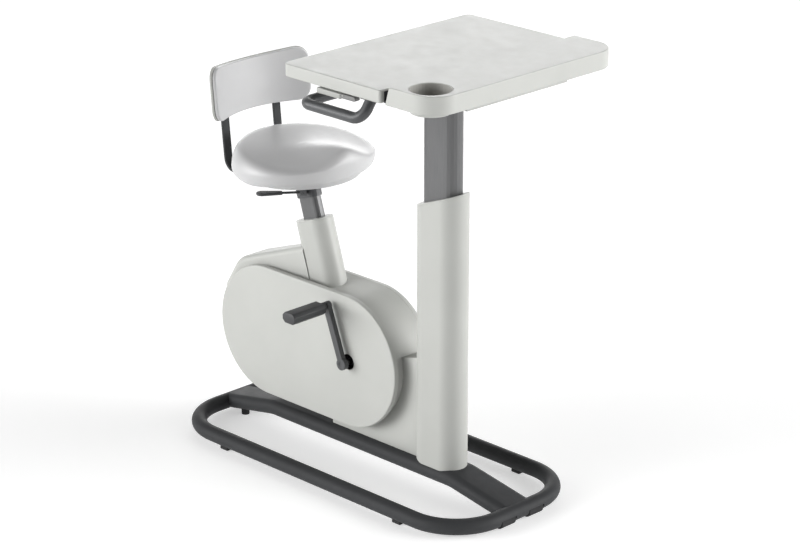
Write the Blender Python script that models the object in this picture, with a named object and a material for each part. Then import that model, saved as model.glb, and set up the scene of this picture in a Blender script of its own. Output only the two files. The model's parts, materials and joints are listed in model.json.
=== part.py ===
"""Desk exercise bike: a seat and a desk that both rise, on one base, with a belt-driven flywheel.

Metres, +X towards the desk, +Y to the rider's left, +Z up, floor at z = 0 under the middle of the base.
"""

import math

import bmesh
import bpy
from mathutils import Matrix, Vector

# Clearances
GAP = 0.0003                   # between pieces that rest on each other
RUNNING_GAP = 0.0006           # between pieces that turn or slide on each other

# Facets
ARC_STEPS = 5                  # per quarter turn of a column's outline
BEND_STEPS = 7                 # per bend of a tube
LARGE_ARC_STEPS = 10           # per quarter turn of the housing
SMALL_SIDES = 12
TUBE_SIDES = 14
ROUND_SIDES = 20
LARGE_SIDES = 36
PLAN_SIDES = 36                # of the seat
BEAM_STEPS = 5

# Base loop, its pads and its transport rollers
TUBE_RADIUS = 0.0225
PAD_HEIGHT = 0.006
PAD_WRAP = 0.004               # how far a pad climbs the tube
PAD_LENGTH = 0.030
PAD_WIDTH = 0.026
PAD_X = 0.350
PAD_EDGE = 0.0015
LOOP_HALF_LENGTH = 0.566       # to the tube's centre line
LOOP_HALF_WIDTH = 0.237
LOOP_BEND = 0.154
ROLLER_RADIUS = 0.0175
ROLLER_LENGTH = 0.056
ROLLER_Y = 0.0545
ROLLER_LIFT = 0.0025           # rollers clear the floor until the bike is tipped forward
ROLLER_NOTCH = 0.0015
ROLLER_STUB_RADIUS = 0.004
ROLLER_STUB = 0.008
ROLLER_EDGE = 0.002
ROLLER_ROOM = 0.002            # around a roller in its notch

# Centre beam
BEAM_WIDTH = 0.112
BEAM_UNDERSIDE = 0.0425
BEAM_REAR_BEND_X = -0.368
BEAM_FRONT_BEND_X = 0.355
BEAM_BEND = 0.150
BEAM_FOOT_INSET = 0.061        # from the loop's rear centre line
BEAM_FOOT_RADIUS = 0.012
BEAM_FOOT_Y = 0.026

# Desk column
COLUMN_RADIUS = 0.0485
COLUMN_HALF_FLAT = 0.0305
COLUMN_WALL = 0.0025
COLUMN_X = 0.2805
COLUMN_RIM_Z = 0.854           # at the column's middle
COLUMN_RIM_SLOPE = 0.372
CAP_LIP = 0.003
CAP_SKIRT = 0.060
CAP_WALL = 0.003
INNER_RADIUS = 0.0305
INNER_WALL = 0.002
INNER_FOOT_Z = 0.450
GLIDE_HEIGHT = 0.040
HEAD_FLANGE_SPREAD = 0.022
HEAD_FLANGE_THICKNESS = 0.006

# Gas springs, one under the desk and one under the seat
GAS_BODY_RADIUS = 0.014
GAS_BORE_RADIUS = 0.0112
GAS_ROD_RADIUS = 0.005
GAS_NECK = 0.012
PISTON_LENGTH = 0.012
DESK_GAS_BORE_FOOT_Z = 0.400
DESK_GAS_HEAD_Z = 0.720
DESK_PISTON_Z = 0.680

# Housing: two side covers on a narrower body
COVER_RADIUS = 0.194
COVER_REAR_X = -0.3516
COVER_FRONT_X = -0.0235
AXIS_Z = 0.318
COVER_HALF_WIDTH = 0.075
COVER_WALL = 0.003
COVER_DEPTH = 0.015
COVER_EDGE = 0.004
CRANK_HOLE_RADIUS = 0.023
BODY_INSET = 0.012
BODY_WALL = 0.003

# Ridge that fairs the seat sleeve into the housing
RIDGE_SLOPE = 0.367
RIDGE_FRONT_X = -0.235
RIDGE_FRONT_Z = 0.596
RIDGE_CREST_X = -0.482
RIDGE_REAR_X = -0.533
RIDGE_REAR_Z = 0.418
RIDGE_REAR_HALF_WIDTH = 0.0595
RIDGE_TAPER = 0.060
RIDGE_CREST_BEND = 0.045
RIDGE_EDGE = 0.016

# Fairing between the housing and the column
FAIRING_HALF_WIDTH = 0.030
FAIRING_WALL = 0.0025
FAIRING_REAR_X = -0.125
FAIRING_TOP_X = 0.208
FAIRING_TOP_Z = 0.380
FAIRING_TOP_SLOPE = 0.245

# Seat sleeve and post, on an axis that leans back
SEAT_TILT = math.radians(17.2)
SLEEVE_FOOT_X = -0.0625        # where the sleeve's axis meets its foot
SLEEVE_DROP = 0.125            # from the cushion's underside to the sleeve's rim
SLEEVE_RADIUS = 0.039
SLEEVE_HALF_FLAT = 0.021
SLEEVE_WALL = 0.003
SLEEVE_FOOT_Z = 0.150
SLEEVE_FOOT_FLANGE = 0.008
SLEEVE_FOOT_SPREAD = 0.006
PEDESTAL_RADIUS = 0.0265
PEDESTAL_HALF_FLAT = 0.025
SLEEVE_CAP_DEPTH = 0.045
POST_RADIUS = 0.018
POST_HALF_FLAT = 0.019
POST_WALL = 0.002
POST_FOOT = -0.300             # along the seat axis, from the sleeve's rim
POST_TOP = 0.0955
SEAT_GAS_FOOT = -0.140
SEAT_GAS_BORE_TOP = 0.078
SEAT_PISTON = 0.0

# Seat
SEAT_UNDERSIDE = 0.800
SEAT_SETBACK = 0.042           # of the seat's middle behind the sleeve's rim
CUSHION_LENGTH = 0.380
CUSHION_WIDTH = 0.424
CUSHION_RIM = 0.0865
CUSHION_FALL = 0.008           # of the rim, from the middle to the front
CUSHION_DISH = 0.026
CUSHION_POMMEL = 0.014
CUSHION_NOSE = 0.020           # rise of the lower edge at the front
PAN_THICKNESS = 0.008
PAN_MARGIN = 0.042
HEAD_LENGTH = 0.150
HEAD_WIDTH = 0.110
HEAD_CORNER = 0.015
HEAD_THICKNESS = 0.006
HEAD_SOCKET = 0.034
HEAD_SOCKET_WALL = 0.005

# Seat lever
LEVER_LEAD = 0.035             # ahead of the seat's middle
LEVER_Y = -0.036
LEVER_DROP = 0.043             # below the cushion
LEVER_HEADING = math.radians(231)
LEVER_ROD_RADIUS = 0.0035
LEVER_ROD_LENGTH = 0.058
LEVER_BLADE_LENGTH = 0.074
LEVER_BLADE_WIDTH = 0.032
LEVER_BLADE_ROOT_WIDTH = 0.020
LEVER_BLADE_THICKNESS = 0.008
LEVER_EDGE = 0.003
LEVER_ROD_OVERLAP = 0.010
LEVER_BOSS_RADIUS = 0.007
LEVER_PIN_RADIUS = 0.002
LEVER_CHEEK = 0.005

# Backrest
BACK_SETBACK = 0.214           # of the front face behind the seat's middle, half way up
BACK_CURVE = 0.690             # x grows by y squared over this
BACK_HALF_WIDTH = 0.184
BACK_LIFT = 0.150              # of its lower edge over the cushion's underside
BACK_HEIGHT = 0.145
BACK_WING_RISE = 0.015
BACK_CORNER = 0.040
BACK_EDGE_ROW = 0.012
BACK_PAD_THICKNESS = 0.011
BACK_PAD_INSET = 0.002
BACK_PAD_EDGE = 0.004
BACK_SHELL_THICKNESS = 0.008
BACK_SHELL_EDGE = 0.003
BACK_LEAN = math.radians(5.6)
UPRIGHT_Y = 0.098
UPRIGHT_WIDTH = 0.026
UPRIGHT_THICKNESS = 0.008
UPRIGHT_EDGE = 0.0015
UPRIGHT_BEND = 0.035
UPRIGHT_REACH = 0.110          # of its top over the backrest's lower edge
UPRIGHT_FOOT_LAP = 0.147       # of its foot under the seat's rear half

# Crank, pedals and belt drive
CRANK_X = -0.014
CRANK_ANGLE = math.radians(20.7)
CRANK_LENGTH = 0.170
ARM_OUTER_Y = 0.104
ARM_THICKNESS = 0.015
ARM_BOSS_RADIUS = 0.017
ARM_END_RADIUS = 0.012
ARM_HALF_WIDTH = 0.010
ARM_SOCKET_DEPTH = 0.011
ARM_EDGE = 0.002
AXLE_RADIUS = 0.0085
SHELL_RADIUS = 0.020
SHELL_BORE_RADIUS = 0.017
SHELL_HALF_LENGTH = 0.0455
BEARING_WIDTH = 0.010
PEDAL_INNER_Y = 0.124
PEDAL_OUTER_Y = 0.243
PEDAL_LENGTH = 0.050
PEDAL_HEIGHT = 0.031
PEDAL_CHAMFER = 0.009
PEDAL_EDGE = 0.002
PEDAL_AXLE_RADIUS = 0.005
PEDAL_SHOULDER_RADIUS = 0.009
PEDAL_END_WALL = 0.005
BELT_Y = 0.053
PULLEY_WIDTH = 0.012
PULLEY_FLANGE = 0.0015
DRIVE_PULLEY_RADIUS = 0.105
DRIVEN_PULLEY_RADIUS = 0.025
PULLEY_RIM = 0.010
PULLEY_WEB = 0.004
PULLEY_HUB_RADIUS = 0.020
PULLEY_HOLES = 6
PULLEY_HOLE_MARGIN = 0.0180    # from a window to the hub and to the rim
BELT_THICKNESS = 0.0035
BELT_WIDTH = 0.008
FLYWHEEL_RADIUS = 0.115
FLYWHEEL_HALF_WIDTH = 0.011
FLYWHEEL_RIM = 0.028
FLYWHEEL_WEB = 0.007
FLYWHEEL_HUB_RADIUS = 0.018
FLYWHEEL_SHAFT_RADIUS = 0.0065
PLATE_THICKNESS = 0.004
PLATE_CRANK_RADIUS = 0.033
PLATE_FLYWHEEL_RADIUS = 0.024
BRAKE_LENGTH = 0.060
BRAKE_HEIGHT = 0.044
BRAKE_OVERLAP = 0.026
BRAKE_AIR_GAP = 0.0015

# Desk top
DESK_REAR_X = 0.040
DESK_HALF_WIDTH = 0.350
DESK_UNDERSIDE = 1.215
PANEL_FRONT_X = 0.396
PANEL_THICKNESS = 0.035
PANEL_CORNER = 0.014
PANEL_FRONT_CORNER = 0.008
PANEL_EDGE = 0.0035
LEDGE_FRONT_X = 0.588
LEDGE_REAR_TOP_X = 0.426
LEDGE_REAR_FOOT_X = 0.412
LEDGE_HEIGHT = 0.050
LEDGE_CORNER = 0.075
LEDGE_REAR_CORNER = 0.004
LEDGE_WALL = 0.0035
LEDGE_EDGE = 0.003
CUP_SETBACK = 0.077            # of the cup's middle from the ledge's front
CUP_INSET = 0.066              # and from its right end
CUP_RADIUS = 0.0565
CUP_BEND = 0.008               # round the pocket's floor
CUP_LINER_WALL = 0.002
CUP_LINER_DROP = 0.001         # of its rim below the ledge's top
CUP_DROP = 0.010               # how far the cup pocket hangs below the ledge
TROUGH_WALL = 0.002
TROUGH_INSET = 0.014
TROUGH_DEPTH = 0.030
TRAY_REAR_X = 0.060
TRAY_FRONT_X = 0.540
TRAY_HALF_WIDTH = 0.187
TRAY_DEPTH = 0.021
TRAY_WALL = 0.002
TRAY_CORNER = 0.020
TRAY_NOSE_X = 0.580            # front of the tray's shallow nose under the ledge
TRAY_NOSE_DEPTH = 0.0072

# Handlebar and the desk release
HANDLE_RADIUS = 0.0148
HANDLE_OVERHANG = 0.016        # of a grip's centre line beyond the desk's side
HANDLE_DROP = 0.050            # below the desk top
HANDLE_REAR_X = 0.124
HANDLE_FRONT_X = 0.346
HANDLE_BEND = 0.033
HANDLE_LEG_LEAN = 0.72         # run inwards over rise
HANDLE_PLATE_INSET = 0.022
HANDLE_PLATE_LENGTH = 0.056
HANDLE_PLATE_WIDTH = 0.062
HANDLE_PLATE_THICKNESS = 0.003
CLAMP_Y = 0.120
CLAMP_WIDTH = 0.026
CLAMP_WALL = 0.004
CLAMP_FLANGE = 0.014
CLAMP_FLANGE_THICKNESS = 0.005
BRACKET_REAR_X = 0.151
BRACKET_FRONT_X = 0.2385
BRACKET_INSET = 0.010
BRACKET_DROP = 0.023           # these drops are below the desk top
BRACKET_SHELF_DROP = 0.009
BRACKET_DEPTH = 0.030
BRACKET_WEB = 0.012
BRACKET_EDGE = 0.0015
BRACKET_EAR_OVERLAP = 0.010
BRACKET_EAR_MARGIN = 0.012
PADDLE_PIVOT_X = 0.250
PADDLE_PIVOT_DROP = 0.0105
PADDLE_FRONT_X = 0.295
PADDLE_REAR_GAP = 0.0015
PADDLE_DROP = 0.019
PADDLE_TOP_DROP = 0.0075
PADDLE_WIDTH = 0.018
PADDLE_REAR_CORNER = 0.002
PADDLE_FRONT_CORNER = 0.0055
PADDLE_EDGE = 0.001
PADDLE_PIN_RADIUS = 0.0025
PADDLE_PIN_END = 0.002         # how far the pin stands out of the bracket

# Worked out from the sizes above
LOOP_Z = PAD_HEIGHT + TUBE_RADIUS
BEAM_FOOT_X = BEAM_FOOT_INSET - LOOP_HALF_LENGTH
BEAM_Z = BEAM_UNDERSIDE + TUBE_RADIUS
BEAM_TOP = BEAM_Z + TUBE_RADIUS
ROLLER_X = LOOP_HALF_LENGTH + TUBE_RADIUS - ROLLER_RADIUS
ROLLER_Z = ROLLER_RADIUS + ROLLER_LIFT
BODY_RADIUS = COVER_RADIUS - BODY_INSET
BODY_HALF_WIDTH = COVER_HALF_WIDTH - COVER_WALL - GAP
COVER_MIDDLE_X = (COVER_REAR_X + COVER_FRONT_X) / 2
COVER_HALF_FLAT = (COVER_FRONT_X - COVER_REAR_X) / 2
PLATE_Y = SLEEVE_RADIUS + GAP
SLEEVE_TOP_Z = SEAT_UNDERSIDE - SLEEVE_DROP
SLEEVE_TOP_X = SLEEVE_FOOT_X - math.tan(SEAT_TILT) * (SLEEVE_TOP_Z - SLEEVE_FOOT_Z)
SEAT_X = SLEEVE_TOP_X - SEAT_SETBACK
LEVER_X = SEAT_X + LEVER_LEAD
LEVER_Z = SEAT_UNDERSIDE - LEVER_DROP
BACK_X = SEAT_X - BACK_SETBACK
BACK_LOW_Z = SEAT_UNDERSIDE + BACK_LIFT
BACK_HIGH_Z = BACK_LOW_Z + BACK_HEIGHT
UPRIGHT_TOP_Z = BACK_LOW_Z + UPRIGHT_REACH
UPRIGHT_FRONT_X = SEAT_X - CUSHION_LENGTH / 2 + UPRIGHT_FOOT_LAP
PAN_Z = SEAT_UNDERSIDE - GAP - PAN_THICKNESS
HEAD_Z = PAN_Z - GAP - HEAD_THICKNESS
PANEL_TOP = DESK_UNDERSIDE + PANEL_THICKNESS
LEDGE_TOP = DESK_UNDERSIDE + LEDGE_HEIGHT
CUP_X = LEDGE_FRONT_X - CUP_SETBACK
CUP_Y = CUP_INSET - DESK_HALF_WIDTH
TRAY_TOP = DESK_UNDERSIDE - GAP
TRAY_FOOT = TRAY_TOP - TRAY_DEPTH
INNER_TOP = TRAY_FOOT - GAP
HANDLE_Y = DESK_HALF_WIDTH + HANDLE_OVERHANG
HANDLE_Z = DESK_UNDERSIDE - HANDLE_DROP
BRACKET_Y = DESK_HALF_WIDTH - BRACKET_INSET
BRACKET_LOW_Z = DESK_UNDERSIDE - BRACKET_DROP
PADDLE_PIVOT_Z = DESK_UNDERSIDE - PADDLE_PIVOT_DROP


# Outlines and paths

def arc(centre, radius, start, end, steps):
    """Points of an arc, with its two ends, as pairs."""
    angles = [start + (end - start) * step / steps for step in range(steps + 1)]
    return [(centre[0] + radius * math.cos(a), centre[1] + radius * math.sin(a)) for a in angles]


def circle(radius, sides=ROUND_SIDES, centre=(0.0, 0.0)):
    return arc(centre, radius, 0.0, math.tau, sides)[:-1]


def stadium(radius, half_flat, centre=(0.0, 0.0), steps=ARC_STEPS):
    """A slot outline: two half circles joined by flats that run along the first axis."""
    front = arc((centre[0] + half_flat, centre[1]), radius, -math.pi / 2, math.pi / 2, 2 * steps)
    rear = arc((centre[0] - half_flat, centre[1]), radius, math.pi / 2, 3 * math.pi / 2, 2 * steps)
    return front + rear


def rounded_box(low, high, radius, steps=4, front_radius=None):
    """A rectangle with rounded corners; the two at the high end of the first axis may differ."""
    front = radius if front_radius is None else front_radius
    quarter = math.pi / 2
    corners = (
        (high[0] - front, low[1] + front, front, -quarter),
        (high[0] - front, high[1] - front, front, 0.0),
        (low[0] + radius, high[1] - radius, radius, quarter),
        (low[0] + radius, low[1] + radius, radius, 2 * quarter),
    )
    points = []
    for x, y, bend, start in corners:
        points += arc((x, y), bend, start, start + quarter, steps)
    return points


def belt_outline(first, first_radius, second, second_radius, steps=LARGE_ARC_STEPS):
    """The taut outline around two circles."""
    along = math.atan2(second[1] - first[1], second[0] - first[0])
    lean = math.acos((first_radius - second_radius) / math.dist(first, second))
    around_first = arc(first, first_radius, along + lean, along + math.tau - lean, steps)
    around_second = arc(second, second_radius, along - lean, along + lean, steps)
    return around_first + around_second


def rounded_path(points, radius, closed=False, steps=BEND_STEPS):
    """A path through the points, with each corner replaced by an arc."""
    path = []
    count = len(points)
    for i, corner in enumerate(points):
        if not closed and i in (0, count - 1):
            path.append(corner.copy())
            continue
        back = (points[i - 1] - corner).normalized()
        ahead = (points[(i + 1) % count] - corner).normalized()
        half = back.angle(ahead) / 2
        centre = corner + (back + ahead).normalized() * radius / math.sin(half)
        start = corner + back * radius / math.tan(half) - centre
        end = corner + ahead * radius / math.tan(half) - centre
        sweep_angle = start.angle(end)
        for step in range(steps + 1):
            share = step / steps
            path.append(centre + (start * math.sin((1 - share) * sweep_angle)
                                  + end * math.sin(share * sweep_angle)) / math.sin(sweep_angle))
    return path


def level(outline, z):
    """A ring in plan at one height."""
    return [Vector((x, y, z)) for x, y in outline]


def upright(outline, y):
    """A ring drawn in side view at one distance to the left."""
    return [Vector((x, y, z)) for x, z in outline]


def facing(outline, x):
    """A ring drawn in front view at one distance forward."""
    return [Vector((x, y, z)) for y, z in outline]


# Solids

def loft(rings, tube=False):
    """Skin a stack of rings that have equally many points; a tube joins the last to the first."""
    shape = bmesh.new()
    loops = [[shape.verts.new(point) for point in ring] for ring in rings]
    pairs = list(zip(loops, loops[1:]))
    if tube:
        pairs.append((loops[-1], loops[0]))
    for lower, upper in pairs:
        for i in range(len(lower)):
            j = (i + 1) % len(lower)
            shape.faces.new((lower[i], lower[j], upper[j], upper[i]))
    if not tube:
        shape.faces.new(reversed(loops[0]))
        shape.faces.new(loops[-1])
    bmesh.ops.recalc_face_normals(shape, faces=shape.faces)
    return shape


def turned(profile, sides=ROUND_SIDES, bored=False):
    """A turned piece from (radius, height) steps; a bored one closes its profile on itself."""
    return loft([level(circle(radius, sides), height) for radius, height in profile], bored)


def sweep(path, radius, closed=False, sides=TUBE_SIDES):
    """A round bar along a path."""
    count = len(path)
    last = count - 1
    rings = []
    side = None
    for i, point in enumerate(path):
        behind = path[i - 1] if closed or i > 0 else point
        ahead = path[(i + 1) % count] if closed or i < last else point
        tangent = (ahead - behind).normalized()
        side = tangent.orthogonal() if side is None else side - tangent * side.dot(tangent)
        side.normalize()
        lift = tangent.cross(side)
        rings.append([point + side * x + lift * y for x, y in circle(radius, sides)])
    return loft(rings, closed)


def box(low, high):
    outline = [(low[0], low[1]), (high[0], low[1]), (high[0], high[1]), (low[0], high[1])]
    return loft([level(outline, low[2]), level(outline, high[2])])


def rod_along_y(radius, low_y, high_y, centre=(0.0, 0.0), sides=ROUND_SIDES):
    """A round bar across the bike; the centre is given in side view."""
    outline = circle(radius, sides, centre)
    return loft([upright(outline, low_y), upright(outline, high_y)])


def across(profile, sides=ROUND_SIDES, bored=False, centre=(0.0, 0.0)):
    """A piece turned about an axis across the bike, from (radius, y) steps."""
    return loft([upright(circle(radius, sides, centre), y) for radius, y in profile], bored)


# Objects

def material(name, colour, roughness, metallic=0.0):
    finish = bpy.data.materials.new(name)
    finish.use_nodes = True
    shader = finish.node_tree.nodes["Principled BSDF"]
    shader.inputs["Base Color"].default_value = (*colour, 1.0)
    shader.inputs["Roughness"].default_value = roughness
    shader.inputs["Metallic"].default_value = metallic
    finish.diffuse_color = (*colour, 1.0)
    return finish


def place(name, shape, finish, parent=None):
    """Make an object of a shape that is given in its parent's axes."""
    mesh = bpy.data.meshes.new(name)
    shape.to_mesh(mesh)
    shape.free()
    mesh.materials.append(finish)
    mesh.shade_smooth()
    mesh.set_sharp_from_angle(angle=math.radians(35))
    obj = bpy.data.objects.new(name, mesh)
    bpy.context.scene.collection.objects.link(obj)
    obj.parent = parent
    return obj


def empty(name, location, tilt=0.0, parent=None):
    """An axis for moving pieces, tilted back about the line across the bike."""
    obj = bpy.data.objects.new(name, None)
    bpy.context.scene.collection.objects.link(obj)
    obj.parent = parent
    obj.location = location
    obj.rotation_euler = (0.0, -tilt, 0.0)
    return obj


def combine(obj, shape, operation="DIFFERENCE", parent=None):
    """Cut a shape out of an object, or weld it on."""
    tool = place(obj.name + "_" + operation.lower(), shape, obj.data.materials[0], parent or obj.parent)
    tool.hide_render = True
    tool.display_type = "WIRE"
    modifier = obj.modifiers.new(operation.title(), "BOOLEAN")
    modifier.operation = operation
    modifier.solver = "EXACT"
    modifier.object = tool


def round_edges(obj, width, segments=2, angle=50):
    modifier = obj.modifiers.new("Rounded edges", "BEVEL")
    modifier.width = width
    modifier.segments = segments
    modifier.limit_method = "ANGLE"
    modifier.angle_limit = math.radians(angle)


# Base

def base_loop(finish):
    x, y = LOOP_HALF_LENGTH, LOOP_HALF_WIDTH
    corners = level([(x, -y), (x, y), (-x, y), (-x, -y)], LOOP_Z)
    path = rounded_path(corners, LOOP_BEND, closed=True)
    loop = place("base_loop", sweep(path, TUBE_RADIUS, closed=True), finish)
    notch = ROLLER_LENGTH / 2 + ROLLER_NOTCH
    stub = ROLLER_LENGTH / 2 + ROLLER_STUB + ROLLER_NOTCH
    for side in (-1, 1):
        bore = ROLLER_STUB_RADIUS + RUNNING_GAP
        room = ROLLER_RADIUS + ROLLER_ROOM
        steps = [(bore, -stub), (bore, -notch), (room, -notch), (room, notch), (bore, notch), (bore, stub)]
        profile = [(radius, side * ROLLER_Y + y) for radius, y in steps]
        combine(loop, across(profile, centre=(ROLLER_X, ROLLER_Z)))


def roller(name, side, finish):
    """A transport roller with moulded stub axles that turn in the tube."""
    axis = empty(name + "_axis", (ROLLER_X, side * ROLLER_Y, ROLLER_Z))
    half = ROLLER_LENGTH / 2
    edge = ROLLER_EDGE
    stub = half + ROLLER_STUB
    profile = [(ROLLER_STUB_RADIUS, -stub), (ROLLER_STUB_RADIUS, -half), (ROLLER_RADIUS - edge, -half),
               (ROLLER_RADIUS, -half + edge), (ROLLER_RADIUS, half - edge), (ROLLER_RADIUS - edge, half),
               (ROLLER_STUB_RADIUS, half), (ROLLER_STUB_RADIUS, stub)]
    place(name, across(profile), finish, axis)


def foot_pad(name, x, y, finish):
    """A rubber pad moulded to the underside of the tube."""
    low = (x - PAD_LENGTH / 2, y - PAD_WIDTH / 2, 0.0)
    high = (x + PAD_LENGTH / 2, y + PAD_WIDTH / 2, PAD_HEIGHT + PAD_WRAP)
    pad = place(name, box(low, high), finish)
    round_edges(pad, PAD_EDGE)
    tube = turned([(TUBE_RADIUS + GAP, -PAD_LENGTH), (TUBE_RADIUS + GAP, PAD_LENGTH)], LARGE_SIDES)
    tube.transform(Matrix.Translation((x, y, LOOP_Z)) @ Matrix.Rotation(math.pi / 2, 4, "Y"))
    combine(pad, tube)


def beam_line():
    """The beam's centre line: level over most of its length, down to the loop's tubes at both ends."""
    corners = [(-LOOP_HALF_LENGTH, LOOP_Z), (BEAM_REAR_BEND_X, BEAM_Z),
               (BEAM_FRONT_BEND_X, BEAM_Z), (LOOP_HALF_LENGTH, LOOP_Z)]
    return rounded_path([Vector((x, 0.0, z)) for x, z in corners], BEAM_BEND, steps=4)


def beam_shape(grow=0.0):
    section = stadium(TUBE_RADIUS + grow, BEAM_WIDTH / 2 - TUBE_RADIUS, steps=BEAM_STEPS)
    return loft([facing([(y, point.z + z) for y, z in section], point.x) for point in beam_line()])


def centre_beam(finish):
    beam = place("centre_beam", beam_shape(), finish)
    for end in (-1, 1):
        combine(beam, rod_along_y(TUBE_RADIUS + GAP, -BEAM_WIDTH, BEAM_WIDTH,
                                  (end * LOOP_HALF_LENGTH, LOOP_Z), LARGE_SIDES))


def beam_foot(name, side, finish):
    """A round pad under the low rear end of the beam."""
    slope = (BEAM_Z - LOOP_Z) / (BEAM_REAR_BEND_X + LOOP_HALF_LENGTH)
    outline = circle(BEAM_FOOT_RADIUS, TUBE_SIDES, (BEAM_FOOT_X, side * BEAM_FOOT_Y))
    rise = LOOP_Z - TUBE_RADIUS - GAP
    top = [Vector((x, y, rise + slope * (x + LOOP_HALF_LENGTH))) for x, y in outline]
    place(name, loft([level(outline, 0.0), top]), finish)


# Desk column

def rim_height(x, drop=0.0):
    """The column's slanted rim, at a distance forward of the column's middle."""
    return COLUMN_RIM_Z + COLUMN_RIM_SLOPE * x - drop


def rim_ring(outline, drop):
    return [Vector((COLUMN_X + x, y, rim_height(x, drop))) for x, y in outline]


def column_ring(radius, z):
    return level(stadium(radius, COLUMN_HALF_FLAT, (COLUMN_X, 0.0)), z)


def column_outer(finish):
    outer = stadium(COLUMN_RADIUS, COLUMN_HALF_FLAT)
    inner = stadium(COLUMN_RADIUS - COLUMN_WALL, COLUMN_HALF_FLAT)
    rings = [column_ring(COLUMN_RADIUS, BEAM_Z), rim_ring(outer, CAP_LIP + GAP),
             rim_ring(inner, CAP_LIP + GAP), column_ring(COLUMN_RADIUS - COLUMN_WALL, BEAM_Z)]
    column = place("column_outer", loft(rings, tube=True), finish)
    combine(column, beam_shape(GAP))


def column_cap(finish):
    """The slanted lid of the column, with a deep skirt that guides the sliding column."""
    bore = stadium(INNER_RADIUS + RUNNING_GAP, COLUMN_HALF_FLAT)
    lid = stadium(COLUMN_RADIUS, COLUMN_HALF_FLAT)
    skirt = stadium(COLUMN_RADIUS - COLUMN_WALL - GAP, COLUMN_HALF_FLAT)
    hollow = stadium(COLUMN_RADIUS - COLUMN_WALL - GAP - CAP_WALL, COLUMN_HALF_FLAT)
    guide = stadium(INNER_RADIUS + RUNNING_GAP + CAP_WALL, COLUMN_HALF_FLAT)
    rings = [rim_ring(guide, CAP_SKIRT), rim_ring(guide, 2 * CAP_LIP), rim_ring(hollow, 2 * CAP_LIP),
             rim_ring(hollow, CAP_SKIRT / 2), rim_ring(skirt, CAP_SKIRT / 2), rim_ring(skirt, CAP_LIP),
             rim_ring(lid, CAP_LIP), rim_ring(lid, 0.0), rim_ring(bore, 0.0), rim_ring(bore, CAP_SKIRT)]
    place("column_cap", loft(rings, tube=True), finish)


def column_inner(finish, parent):
    """The sliding column with the flange that carries the desk."""
    neck = INNER_TOP - HEAD_FLANGE_THICKNESS
    rings = [column_ring(INNER_RADIUS, INNER_FOOT_Z), column_ring(INNER_RADIUS, neck),
             column_ring(INNER_RADIUS + HEAD_FLANGE_SPREAD, neck),
             column_ring(INNER_RADIUS + HEAD_FLANGE_SPREAD, INNER_TOP),
             column_ring(GAS_BODY_RADIUS, INNER_TOP), column_ring(GAS_BODY_RADIUS, neck),
             column_ring(INNER_RADIUS - INNER_WALL, neck), column_ring(INNER_RADIUS - INNER_WALL, INNER_FOOT_Z)]
    place("column_inner", loft(rings, tube=True), finish, parent)


def column_glide(finish, parent):
    """The plastic shoe round the foot of the sliding column."""
    low = INNER_FOOT_Z
    high = INNER_FOOT_Z + GLIDE_HEIGHT
    outer = COLUMN_RADIUS - COLUMN_WALL - RUNNING_GAP
    inner = INNER_RADIUS + GAP
    rings = [column_ring(outer, low), column_ring(outer, high),
             column_ring(inner, high), column_ring(inner, low)]
    place("column_glide", loft(rings, tube=True), finish, parent)


def gas_body(foot, bore_foot, head):
    """A gas spring's cylinder, standing on its foot, its rod leaving by the head."""
    shoulder = head - GAS_NECK
    neck = GAS_ROD_RADIUS + RUNNING_GAP
    profile = [(GAS_BODY_RADIUS, foot), (GAS_BODY_RADIUS, head), (neck, head),
               (neck, shoulder), (GAS_BORE_RADIUS, shoulder), (GAS_BORE_RADIUS, bore_foot)]
    return turned(profile, TUBE_SIDES)


def gas_rod(piston, end):
    """A gas spring's rod, with its piston at the low end."""
    radius = GAS_BORE_RADIUS - RUNNING_GAP
    shoulder = piston + PISTON_LENGTH
    profile = [(radius, piston), (radius, shoulder), (GAS_ROD_RADIUS, shoulder), (GAS_ROD_RADIUS, end)]
    return turned(profile, TUBE_SIDES)


def desk_gas_spring(finish, rod_finish, parent):
    centre = Matrix.Translation((COLUMN_X, 0.0, 0.0))
    body = gas_body(BEAM_TOP + GAP, DESK_GAS_BORE_FOOT_Z, DESK_GAS_HEAD_Z)
    body.transform(centre)
    place("desk_gas_cylinder", body, finish)
    rod = gas_rod(DESK_PISTON_Z, INNER_TOP)
    rod.transform(centre)
    place("desk_gas_rod", rod, rod_finish, parent)


# Housing

def cover_ring(radius, y):
    return upright(stadium(radius, COVER_HALF_FLAT, (COVER_MIDDLE_X, AXIS_Z), LARGE_ARC_STEPS), y)


def side_cover(name, side, finish):
    """A dished side cover with a rounded edge and a hole for the crank axle."""
    face = COVER_HALF_WIDTH
    inner = COVER_RADIUS - COVER_WALL
    steps = [(inner, face - COVER_WALL), (inner, face - COVER_DEPTH), (COVER_RADIUS, face - COVER_DEPTH)]
    steps += arc((COVER_RADIUS - COVER_EDGE, face - COVER_EDGE), COVER_EDGE, 0.0, math.pi / 2, 3)
    cover = place(name, loft([cover_ring(radius, side * y) for radius, y in steps]), finish)
    reach = sorted((side * (face - 2 * COVER_WALL), side * (face + COVER_WALL)))
    combine(cover, rod_along_y(CRANK_HOLE_RADIUS, reach[0], reach[1], (CRANK_X, AXIS_Z), LARGE_SIDES))


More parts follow.
